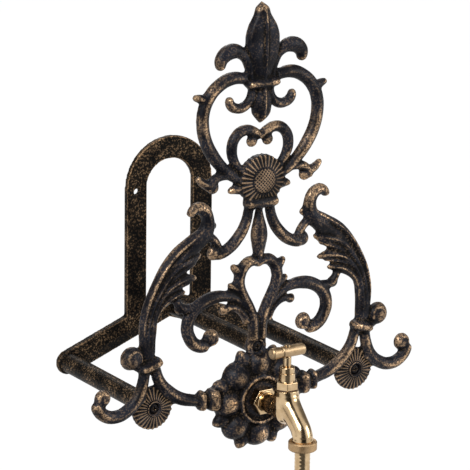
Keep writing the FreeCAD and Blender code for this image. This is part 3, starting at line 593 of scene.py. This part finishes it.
def cut_away(piece, tool):
    """Takes the shape of a tool out of a piece and removes the tool."""
    cut = piece.modifiers.new("cut", "BOOLEAN")
    cut.operation = "DIFFERENCE"
    cut.object = tool
    apply_all(piece)
    bpy.data.objects.remove(tool)


def cut_holes(piece, holes):
    """Cuts round holes, each given as across, height, radius, back and front."""
    cut_away(piece, join_pieces([disc(*hole) for hole in holes]))


cut_holes(panel, [(0.0, FLOWER_HEIGHT, DISH_RADIUS, DISH_FLOOR, DISH_AHEAD),
                  (0.0, CENTRE_SCREW_HEIGHT, SCREW_MOUTH_RADIUS, FACE, AHEAD)])
cut_holes(panel, [(0.0, FLOWER_HEIGHT, TAP_HOLE_RADIUS, BEHIND, AHEAD)]
          + [(*head, SCREW_HEAD_RADIUS, SCREW_HEAD_SEAT, AHEAD) for head in SCREW_HEADS])
cut_holes(panel, [(*head, SHANK_RADIUS, BEHIND, SHANK_AHEAD) for head in SCREW_HEADS])
soften_skin(panel, PANEL_GRAIN, rounds=2)
bracket = recast("wall_bracket", "bracket_casting", BRACKET_GRAIN, rounds=5)

# %% [markdown]
# So far the petals are plain balls. The front of each is pulled out into a fuller crown, and the
# valley between two petals is pressed in, as a modeller does with a soft brush. The pull fades with
# the distance from the middle of the petal.

# %% Plump petals
PETAL_PULL = 0.0026
PETAL_REACH = 0.0105
VALLEY_PRESS = 0.0016
VALLEY_REACH = 0.0055
CROWN_CIRCLE = PETAL_CIRCLE + 0.002
points = points_of(panel)
facing_out = np.clip(-normals_of(panel)[:, 1], 0.0, 1.0)
crowns = np.zeros(len(points))
for index in range(2 * PETALS):
    angle = math.radians(180.0 / PETALS * index)
    middle = np.array((math.cos(angle), math.sin(angle))) * CROWN_CIRCLE
    away = np.hypot(points[:, 0] - middle[0], points[:, 2] - FLOWER_HEIGHT - middle[1])
    pull, reach = (PETAL_PULL, PETAL_REACH) if index % 2 == 0 else (-VALLEY_PRESS, VALLEY_REACH)
    share = np.exp(-(away / reach) ** 2) * facing_out
    points[:, 1] -= pull * share
    crowns += np.sign(pull) * share
set_points(panel, points)
print("petals reach", round(float(points[:, 1].min()), 4))

# %% [markdown]
# The cloth goes over both castings, and it leaves more gold on the crowns of the petals, so these
# are added to what was measured. Then each casting takes the place of its solid.

# %% Rub of the castings
CROWN_RUB = 0.5
for casting, node, more in ((panel, "front_panel", CROWN_RUB * crowns), (bracket, "wall_bracket", 0.0)):
    measure_rub(casting, edge_rounds=5, swell_rounds=90, more=more)
    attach(casting, "hanger")
    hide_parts(node)

# %% [markdown]
# Three screws hold the panel on the ends of the bars. Their heads have a cross recess, which is cut
# into a copy of the turned screws with two bars and a boolean. A fine remesh then breaks the edges,
# and the gold catches there as it does on the castings.

# %% Cross recess of the screws
RECESS_LENGTH = 0.0056
RECESS_WIDTH = 0.0013
RECESS_DEPTH = 0.0018
SCREW_GRAIN = 0.00033
head_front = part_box("panel_screws")[0][1]


def recess_bar(across, height, length, rise):
    deselect()
    bpy.ops.mesh.primitive_cube_add(size=1.0, location=(across, head_front, height))
    bar = bpy.context.object
    bar.scale = (length, 2 * RECESS_DEPTH, rise)
    apply_place()
    return bar


screws = merged_copy("panel_screws", "panel_screw_set")
for head in SCREW_HEADS:
    cut_away(screws, recess_bar(*head, RECESS_LENGTH, RECESS_WIDTH))
    cut_away(screws, recess_bar(*head, RECESS_WIDTH, RECESS_LENGTH))
soften_skin(screws, SCREW_GRAIN, rounds=3)
measure_rub(screws, edge_rounds=5, swell_rounds=30)
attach(screws, "hanger")
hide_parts("panel_screws")

# %% [markdown]
# A thin bead runs round the mouth of each screw recess. A torus makes it, flattened towards the
# panel, so that it looks cast on. One bead is made, and the three on the panel are copies with
# meshes of their own.

# %% Beads round the screws
BEAD_RADIUS = 0.0068
BEAD_THICKNESS = 0.0008
BEAD_FLATTENING = 0.7
BEAD_STANDS = {"left": 0.0009, "right": 0.0009, "centre": 0.0002}
deselect()
bpy.ops.mesh.primitive_torus_add(major_radius=BEAD_RADIUS, minor_radius=BEAD_THICKNESS, major_segments=64,
                                 minor_segments=12, location=(0.0, 0.0, 0.0))
bead = bpy.context.object
bead.scale = (1.0, 1.0, BEAD_FLATTENING)
bead.rotation_euler = (math.radians(90), 0.0, 0.0)
apply_place()
bpy.ops.object.shade_smooth()
beads = []
for (side, stand), (across, height) in zip(BEAD_STANDS.items(), SCREW_HEADS):
    copy = add_object(f"{side}_screw_bead", bead.data.copy())
    copy.data.transform(Matrix.Translation((across, head_front - stand, height)))
    measure_rub(copy, edge_rounds=2, swell_rounds=6)
    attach(copy, "hanger")
    beads.append(copy)
bpy.data.objects.remove(bead)
print(len(beads), "beads")

# %% [markdown]
# The tap body is a polished brass casting: its barrel, neck and spout flow into each other. The
# nuts, the handle and the tail are turned, with edges broken by a file. A fine remesh gives all of
# them edges that catch the light. Each row says what a node's piece is called, its grain, its
# rounds of smoothing and the body that it rides on.

# %% Brass pieces
BRASS_PIECES = {
    "tap_body": ("tap_casting", 0.0006, 6, "hanger"),
    "bonnet": ("bonnet_turned", 0.00035, 2, "hanger"),
    "gland_nut": ("gland_turned", 0.0003, 2, "hanger"),
    "union_nut": ("union_turned", 0.00035, 3, "hanger"),
    "hose_tail": ("tail_turned", 0.00035, 90, "hanger"),
    "spindle": ("spindle_turned", 0.0003, 2, "handle"),
    "tee_handle": ("handle_turned", 0.00035, 4, "handle"),
}
brass_pieces = {}
for node, (name, grain, rounds, body) in BRASS_PIECES.items():
    brass_pieces[node] = recast(node, name, grain, rounds)
    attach(brass_pieces[node], body)
    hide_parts(node)

# %% [markdown]
# The barrel of a cast tap runs into its spout in one S-shaped sweep. The solid has a mitre there,
# so the points around it get many more rounds of smoothing, through a vertex group that leaves out
# the flange, the rim under the bonnet and the end that the union nut is on. Smoothing shrinks a
# tube, so the points then move out a little.

# %% Sweep of the spout
SWEEP_ROUNDS = 300
SWEEP_FULLNESS = 0.0011
FLANGE_FRONT = -0.2065
SPOUT_END = -0.1945
BARREL_RIM = -0.1535
tap = brass_pieces["tap_body"]
points = points_of(tap)
fade = np.clip((FLANGE_FRONT - points[:, 1]) / 0.003, 0.0, 1.0)
fade *= np.clip((points[:, 2] - SPOUT_END) / 0.004, 0.0, 1.0)
fade *= np.clip((BARREL_RIM - points[:, 2]) / 0.004, 0.0, 1.0)
sweep = tap.vertex_groups.new(name="sweep")
for index in np.flatnonzero(fade):
    sweep.add([int(index)], float(fade[index]), "REPLACE")
flow = add_smoothing(tap, SWEEP_ROUNDS)
flow.vertex_group = sweep.name
apply_all(tap)
set_points(tap, points_of(tap) + normals_of(tap) * (SWEEP_FULLNESS * fade)[:, None])
print("sweep", int((fade > 0).sum()), "points")

# %% [markdown]
# The lathe leaves a small centre hole in each end of the handle. The points near the middle of the
# end faces are pushed in for it.

# %% Centre holes of the handle
HOLE_RADIUS = 0.0014
HOLE_DEPTH = 0.0011
END_MARGIN = 0.001
handle = brass_pieces["tee_handle"]
low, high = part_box("tee_handle")
axis_y, axis_z = (low[1] + high[1]) / 2, (low[2] + high[2]) / 2
points = points_of(handle)
off_axis = np.hypot(points[:, 1] - axis_y, points[:, 2] - axis_z)
sink = HOLE_DEPTH * np.clip(1.0 - off_axis / HOLE_RADIUS, 0.0, 1.0)
points[:, 0] -= np.sign(points[:, 0]) * sink * (np.abs(points[:, 0]) > high[0] - END_MARGIN)
set_points(handle, points)
print("centre holes", round(float(sink.max()), 5))

# %% [markdown]
# Finishes are made of nodes. These helpers add a node, set its values and link it, so that a finish
# below reads like a recipe: noise, then a remap of its range, then sums and products of masks. A
# Mix node has sockets for each kind of data, and its colours are the seventh and eighth.

# %% Node helpers
def add_node(tree, kind, **settings):
    node = tree.nodes.new(kind)
    for key, value in settings.items():
        setattr(node, key, value)
    return node


def noise(tree, coordinates, scale, detail):
    node = add_node(tree, "ShaderNodeTexNoise")
    node.inputs["Scale"].default_value = scale
    node.inputs["Detail"].default_value = detail
    tree.links.new(coordinates, node.inputs["Vector"])
    return node.outputs["Fac"]


def remap(tree, value, low, high, start=0.0, end=1.0):
    node = add_node(tree, "ShaderNodeMapRange", interpolation_type="SMOOTHSTEP")
    for key, number in (("From Min", low), ("From Max", high), ("To Min", start), ("To Max", end)):
        node.inputs[key].default_value = number
    tree.links.new(value, node.inputs["Value"])
    return node.outputs["Result"]


def combine(tree, operation, *values):
    node = add_node(tree, "ShaderNodeMath", operation=operation)
    for socket, value in zip(node.inputs, values):
        if isinstance(value, (int, float)):
            socket.default_value = value
        else:
            tree.links.new(value, socket)
    return node.outputs["Value"]


def times(tree, first, second):
    return combine(tree, "MULTIPLY", first, second)


def plus(tree, first, second):
    return combine(tree, "ADD", first, second)


def mix_colour(tree, share, first, second):
    node = add_node(tree, "ShaderNodeMix", data_type="RGBA")
    tree.links.new(share, node.inputs["Factor"])
    for socket, value in zip((node.inputs[6], node.inputs[7]), (first, second)):
        if isinstance(value, tuple):
            socket.default_value = value + (1.0,)
        else:
            tree.links.new(value, socket)
    return node.outputs[2]


def add_bump(tree, height, strength, distance):
    bump = add_node(tree, "ShaderNodeBump")
    bump.inputs["Strength"].default_value = strength
    bump.inputs["Distance"].default_value = distance
    tree.links.new(height, bump.inputs["Height"])
    return bump


def object_place(tree):
    return add_node(tree, "ShaderNodeTexCoord").outputs["Object"]


def new_group(name, inputs, outputs):
    """A node group with plain number sockets; gives the group, what it is given and what it puts out."""
    group = bpy.data.node_groups.new(name, "ShaderNodeTree")
    for label in inputs:
        group.interface.new_socket(label, in_out="INPUT", socket_type="NodeSocketFloat")
    for label in outputs:
        group.interface.new_socket(label, in_out="OUTPUT", socket_type="NodeSocketFloat")
    return group, add_node(group, "NodeGroupInput").outputs, add_node(group, "NodeGroupOutput").inputs


# %% [markdown]
# A node group holds what the castings and the screws share: the grain of the sand and the rubbed
# gold. It reads Object coordinates, so the grain has a real size, and puts out masks and heights
# only. The gold lies where the piece is raised, in patches and with pits left dark, and as loose
# specks elsewhere. The shader itself stays in each material.

# %% The rubbed casting group
rubbed, given, made = new_group("rubbed_casting", ("Edge", "Swell", "Front", "Specks"),
                                ("Gold", "Hollow", "Tone", "Height"))
place = object_place(rubbed)
strokes = noise(rubbed, place, scale=32.0, detail=2.0)
patches = noise(rubbed, place, scale=60.0, detail=3.0)
pits = noise(rubbed, place, scale=560.0, detail=5.0)
sand = noise(rubbed, place, scale=1000.0, detail=3.0)
raised = plus(rubbed, times(rubbed, given["Edge"], 0.95), times(rubbed, given["Swell"], 0.4))
raised = plus(rubbed, raised, remap(rubbed, strokes, 0.3, 0.7, -0.25, 0.25))
wiped = remap(rubbed, raised, 0.54, 1.12)
wiped = times(rubbed, wiped, remap(rubbed, given["Front"], 0.0, 0.8, 0.3, 1.0))
mottle = times(rubbed, remap(rubbed, patches, 0.35, 0.68, 0.5, 1.0),
               remap(rubbed, pits, 0.42, 0.58, 0.12, 1.0))
ridge_gold = times(rubbed, wiped, mottle)
speck_gold = times(rubbed, remap(rubbed, pits, 0.51, 0.63), remap(rubbed, patches, 0.36, 0.66, 0.15, 1.0))
speck_gold = times(rubbed, speck_gold, given["Specks"])
rubbed.links.new(combine(rubbed, "MAXIMUM", ridge_gold, speck_gold), made["Gold"])
# Hollow marks the grooves, where the finishes paint shade and raise the roughness.
rubbed.links.new(remap(rubbed, given["Edge"], -0.45, 0.05, 1.0, 0.0), made["Hollow"])
rubbed.links.new(patches, made["Tone"])
rubbed.links.new(plus(rubbed, times(rubbed, pits, 0.65), times(rubbed, sand, 0.35)), made["Height"])
print("group", rubbed.name, len(rubbed.nodes), "nodes")

# %% [markdown]
# The rosettes at the bar ends and the shell under the heart are ribbed all over, and the eye of the
# shell is hatched both ways. The finest of this is finer than the mesh, so it is drawn as a height:
# the cosine of the angle round the middle makes ribs that widen outwards, and two crossed waves
# make the hatching. The same height says where the cloth leaves gold, so the two stay in step. Each
# row gives a boss's middle, its ribs, where they start and end, and the foremost place that they
# reach.

# %% Ribs and hatching of the bosses
BOSS_RIBS = ((ROSETTE_ACROSS, BAR_HEIGHT, ROSETTE_RIBS, 0.0076, 0.0224, -0.1712),
             (0.0, SHELL_HEIGHT, SHELL_RIBS, 0.0122, 0.0254, -0.1785))
RING_EDGE = 0.0015
BACK_FADE = 0.002
HATCH_RATE = 1700.0


def wave(tree, value, rate):
    return combine(tree, "MULTIPLY_ADD", combine(tree, "COSINE", times(tree, value, rate)), 0.5, 0.5)


def ring_mask(tree, away, inner, outer):
    inside = remap(tree, away, inner, inner + RING_EDGE)
    return times(tree, inside, remap(tree, away, outer - RING_EDGE, outer, 1.0, 0.0))


bosses, given, made = new_group("ribbed_bosses", ("Front",), ("Ribs",))
axes = add_node(bosses, "ShaderNodeSeparateXYZ")
bosses.links.new(object_place(bosses), axes.inputs["Vector"])
depth = axes.outputs["Y"]
aside = combine(bosses, "ABSOLUTE", axes.outputs["X"])
facing = times(bosses, remap(bosses, given["Front"], 0.35, 0.75),
               remap(bosses, depth, SEAT, SEAT + BACK_FADE, 1.0, 0.0))


def from_middle(across, height):
    """How far a point lies to the right of, above and away from the middle of a boss."""
    right = combine(bosses, "SUBTRACT", aside, across)
    up = combine(bosses, "SUBTRACT", axes.outputs["Z"], height)
    square = plus(bosses, times(bosses, right, right), times(bosses, up, up))
    return right, up, combine(bosses, "SQRT", square)


right, up, away = from_middle(0.0, SHELL_HEIGHT)
hatch = combine(bosses, "MAXIMUM", wave(bosses, plus(bosses, right, up), HATCH_RATE),
                wave(bosses, combine(bosses, "SUBTRACT", right, up), HATCH_RATE))
hatch = times(bosses, hatch, remap(bosses, away, 0.0115, 0.0130, 1.0, 0.0))
drawn = times(bosses, hatch, facing)
for across, height, ribs, inner, outer, nearest in BOSS_RIBS:
    right, up, away = from_middle(across, height)
    crests = wave(bosses, combine(bosses, "ARCTAN2", up, right), ribs)
    mask = times(bosses, ring_mask(bosses, away, inner, outer), facing)
    mask = times(bosses, mask, remap(bosses, depth, nearest, nearest + 0.001))
    drawn = plus(bosses, drawn, times(bosses, crests, mask))
bosses.links.new(drawn, made["Ribs"])
print("group", bosses.name, len(bosses.nodes), "nodes")

# %% [markdown]
# The castings are painted a cold black, a little blotchy, and the gold goes over it. The hollows are
# rougher, and painted shade darkens them almost to black. Gold is a metal and paint isn't, so the mask
# of the gold also drives Metallic and makes the surface smoother. Two bumps follow each other, the
# carved ribs first and the grit of the sand on top.

# %% Cast iron finishes
# Near-black painted shade that the hollows of the castings are darkened towards.
CREVICE_SHADE = (0.0012, 0.0011, 0.0013)


def new_material(name):
    material = bpy.data.materials.new(name)
    material.use_nodes = True
    return material, material.node_tree, material.node_tree.nodes["Principled BSDF"]


def cast_finish(name, dark, light, gold, specks, sheen):
    material, tree, shader = new_material(name)
    group = add_node(tree, "ShaderNodeGroup", node_tree=rubbed)
    group.inputs["Specks"].default_value = specks
    boss = add_node(tree, "ShaderNodeGroup", node_tree=bosses)
    for label in ("Edge", "Swell", "Front"):
        measured = add_node(tree, "ShaderNodeAttribute", attribute_name=label.lower()).outputs["Fac"]
        tree.links.new(measured, group.inputs[label])
        if label in boss.inputs:
            tree.links.new(measured, boss.inputs[label])
    tone, hollow = group.outputs["Tone"], group.outputs["Hollow"]
    crest_gold = times(tree, remap(tree, boss.outputs["Ribs"], 0.5, 1.0, 0.0, 0.45),
                       remap(tree, tone, 0.3, 0.65, 0.4, 1.0))
    rub = combine(tree, "MAXIMUM", group.outputs["Gold"], crest_gold)
    iron = mix_colour(tree, remap(tree, tone, 0.35, 0.65), dark, light)
    # Painted shade: the hollows are mixed towards a near-black colour.
    iron = mix_colour(tree, hollow, iron, CREVICE_SHADE)
    tree.links.new(mix_colour(tree, rub, iron, gold), shader.inputs["Base Color"])
    tree.links.new(remap(tree, rub, 0.0, 1.0, 0.05, 0.8), shader.inputs["Metallic"])
    rough = plus(tree, remap(tree, rub, 0.0, 1.0, 0.42, 0.32), times(tree, hollow, 0.35))
    tree.links.new(rough, shader.inputs["Roughness"])
    shader.inputs["Specular IOR Level"].default_value = sheen
    carved = add_bump(tree, boss.outputs["Ribs"], strength=0.9, distance=0.0013)
    grit = add_bump(tree, group.outputs["Height"], strength=0.35, distance=0.0007)
    tree.links.new(carved.outputs["Normal"], grit.inputs["Normal"])
    tree.links.new(grit.outputs["Normal"], shader.inputs["Normal"])
    return material


panel_iron = cast_finish("panel_iron", dark=(0.003, 0.0034, 0.006), light=(0.013, 0.0142, 0.0205),
                         gold=(0.70, 0.46, 0.265), specks=0.12, sheen=0.12)
bracket_iron = cast_finish("bracket_iron", dark=(0.002, 0.0019, 0.002), light=(0.010, 0.008, 0.006),
                           gold=(0.42, 0.265, 0.145), specks=0.42, sheen=0.05)
screw_black = cast_finish("screw_black", dark=(0.004, 0.004, 0.006), light=(0.010, 0.009, 0.010),
                          gold=(0.38, 0.24, 0.12), specks=0.05, sheen=0.12)
for casting, finish, slot in ((panel, panel_iron, "panel_iron"), (bracket, bracket_iron, "bracket_iron"),
                              (screws, screw_black, "screw_steel")):
    casting.data.materials.append(finish)
for bead in beads:
    bead.data.materials.append(panel_iron)
print("iron finishes on", len(beads) + 3, "pieces")

# %% [markdown]
# Polished brass is a bare metal: its colour is all in the reflection. The body is buffed bright,
# the handle is satin, and the union nut is left as it came from the lathe, with a duller, redder
# skin. So are the small brass parts that stay as the CAD made them.

# %% Brass finishes
def brass_finish(name, dark, light, smooth, rough, marks):
    material, tree, shader = new_material(name)
    place = object_place(tree)
    cloudy = noise(tree, place, scale=140.0, detail=4.0)
    scuffs = noise(tree, place, scale=1400.0, detail=3.0)
    tree.links.new(mix_colour(tree, remap(tree, cloudy, 0.3, 0.7), dark, light), shader.inputs["Base Color"])
    tree.links.new(remap(tree, cloudy, 0.3, 0.7, smooth, rough), shader.inputs["Roughness"])
    shader.inputs["Metallic"].default_value = 1.0
    bump = add_bump(tree, scuffs, strength=marks, distance=0.0002)
    tree.links.new(bump.outputs["Normal"], shader.inputs["Normal"])
    return material


def dress_node(node, material):
    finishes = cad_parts[node].data.materials
    finishes.clear()
    finishes.append(material)


bright_brass = brass_finish("bright_brass", dark=(0.50, 0.35, 0.195), light=(0.66, 0.485, 0.29),
                            smooth=0.14, rough=0.21, marks=0.04)
satin_brass = brass_finish("satin_brass", dark=(0.37, 0.255, 0.142), light=(0.48, 0.345, 0.205),
                           smooth=0.36, rough=0.46, marks=0.15)
raw_brass = brass_finish("raw_brass", dark=(0.42, 0.275, 0.145), light=(0.53, 0.37, 0.21),
                         smooth=0.50, rough=0.62, marks=0.5)
BRASS_FINISHES = {"tee_handle": satin_brass, "union_nut": raw_brass}
for node, piece in brass_pieces.items():
    piece.data.materials.append(BRASS_FINISHES.get(node, bright_brass))
for node in ("tap_lock_nut", "valve_jumper", "washer_nut"):
    dress_node(node, raw_brass)
print("brass on", len(brass_pieces), "pieces")

# %% [markdown]
# The seals are fibre, packing cord and rubber. They hardly show, so each gets a dull, mottled
# colour and its solid stays as it is.

# %% Seals
SEALS = {
    "bonnet_washer": (0.085, 0.05, 0.03),
    "gland_packing": (0.30, 0.24, 0.15),
    "union_washer": (0.02, 0.02, 0.02),
    "valve_washer": (0.02, 0.02, 0.02),
}
for node, colour in SEALS.items():
    material, tree, shader = new_material(f"{node}_finish")
    darker = tuple(0.6 * value for value in colour)
    mottled = noise(tree, object_place(tree), scale=900.0, detail=3.0)
    tree.links.new(mix_colour(tree, mottled, darker, colour), shader.inputs["Base Color"])
    shader.inputs["Roughness"].default_value = 0.7
    dress_node(node, material)
print(len(SEALS), "seals")

# %% [markdown]
# The studio is white all round, with a dark gap where it is open at the front. The gap shows in
# reflections only, and draws the dark line that runs down polished tubes. Floor and world both have
# it, so the line runs on without a break. They are white to rays that show the background: those
# from the camera, through glass and off a gloss.

# %% Gap at the front
GAP_TOWARDS = (-0.341, -0.944, 0.0)


def heading_towards(tree, direction):
    """How nearly a level direction points to the open front: 1 is straight at it and -1 away."""
    level = add_node(tree, "ShaderNodeVectorMath", operation="MULTIPLY")
    level.inputs[1].default_value = (1.0, 1.0, 0.0)
    tree.links.new(direction, level.inputs[0])
    heading = add_node(tree, "ShaderNodeVectorMath", operation="NORMALIZE")
    tree.links.new(level.outputs["Vector"], heading.inputs[0])
    towards = add_node(tree, "ShaderNodeVectorMath", operation="DOT_PRODUCT")
    towards.inputs[1].default_value = GAP_TOWARDS
    tree.links.new(heading.outputs["Vector"], towards.inputs[0])
    return towards.outputs["Value"]


def front_gap(tree, direction):
    return remap(tree, heading_towards(tree, direction), 0.83, 0.955, 0.0, 0.98)


def background_rays(tree):
    """Masks of the rays that show the background, and of those among them that come off a gloss."""
    path = add_node(tree, "ShaderNodeLightPath").outputs
    seen = combine(tree, "MAXIMUM", path["Is Camera Ray"], path["Is Transmission Ray"])
    return combine(tree, "MAXIMUM", seen, path["Is Glossy Ray"]), path["Is Glossy Ray"]


def blend_shaders(tree, share, first, second, output):
    blend = add_node(tree, "ShaderNodeMixShader")
    tree.links.new(share, blend.inputs["Fac"])
    tree.links.new(first, blend.inputs[1])
    tree.links.new(second, blend.inputs[2])
    tree.links.new(blend.outputs["Shader"], tree.nodes[output].inputs["Surface"])


print("gap towards", GAP_TOWARDS)

# %% [markdown]
# The floor lies well below the hanger, which hangs on a wall in use. It is pale, and glows just
# enough to be white to the camera, while a little of its plain shader stays for the shadow.

# %% Floor
FLOOR_SIZE = 12.0
FLOOR_HEIGHT = -0.42
FLOOR_GLOW = 1.05
GLOW_SHARE = 0.93
deselect()
bpy.ops.mesh.primitive_plane_add(size=FLOOR_SIZE, location=(0.0, 0.0, FLOOR_HEIGHT))
floor = bpy.context.object
floor.name = "floor"
pale, tree, shader = new_material("pale_floor")
shader.inputs["Base Color"].default_value = (0.6, 0.6, 0.6, 1.0)
shader.inputs["Roughness"].default_value = 0.8
glow = add_node(tree, "ShaderNodeEmission")
seen, glossy = background_rays(tree)
gap = times(tree, front_gap(tree, object_place(tree)), glossy)
tree.links.new(combine(tree, "SUBTRACT", FLOOR_GLOW, gap), glow.inputs["Strength"])
blend_shaders(tree, times(tree, seen, GLOW_SHARE), shader.outputs["BSDF"], glow.outputs["Emission"],
              "Material Output")
floor.data.materials.append(pale)
print("floor", len(tree.nodes), "nodes")

# %% [markdown]
# To the lighting the world is a quiet grey room with a bright ceiling. In reflections its back is
# dimmer too, so that the brass isn't white on both sides.

# %% World
world = bpy.data.worlds.new("studio")
bpy.context.scene.world = world
world.use_nodes = True
tree = world.node_tree
room = tree.nodes["Background"]
white = add_node(tree, "ShaderNodeBackground")
for background in (room, white):
    background.inputs["Color"].default_value = (1.0, 1.0, 1.0, 1.0)
direction = add_node(tree, "ShaderNodeTexCoord").outputs["Generated"]
upward = add_node(tree, "ShaderNodeSeparateXYZ")
tree.links.new(direction, upward.inputs["Vector"])
tree.links.new(remap(tree, upward.outputs["Z"], -0.4, 0.9, 0.12, 0.7), room.inputs["Strength"])
seen, glossy = background_rays(tree)
dim_back = remap(tree, heading_towards(tree, direction), -0.3, 0.35, 0.78, 0.0)
gap = times(tree, combine(tree, "MAXIMUM", front_gap(tree, direction), dim_back), glossy)
tree.links.new(combine(tree, "SUBTRACT", 1.0, gap), white.inputs["Strength"])
blend_shaders(tree, seen, room.outputs["Background"], white.outputs["Background"], "World Output")
print("world", len(tree.nodes), "nodes")

# %% [markdown]
# Three large lamps light the hanger softly: the key from the left, a weaker fill from the right,
# and a rim lamp behind that lifts the back edges off the background.

# %% Lamps
def soft_lamp(name, place, target, width, power):
    light = bpy.data.lights.new(name, "AREA")
    light.size = width
    light.energy = power
    lamp = add_object(name, light)
    lamp.location = place
    lamp.rotation_euler = (Vector(target) - Vector(place)).to_track_quat("-Z", "Y").to_euler()
    print(name, power, "W")


soft_lamp("key_lamp", place=(-1.6, -1.2, 1.5), target=(0.0, -0.15, 0.0), width=1.0, power=48.0)
soft_lamp("fill_lamp", place=(1.5, -1.6, 0.7), target=(0.0, -0.15, 0.0), width=1.0, power=18.0)
soft_lamp("rim_lamp", place=(0.6, 1.4, 1.4), target=(0.0, -0.1, 0.0), width=0.8, power=16.0)
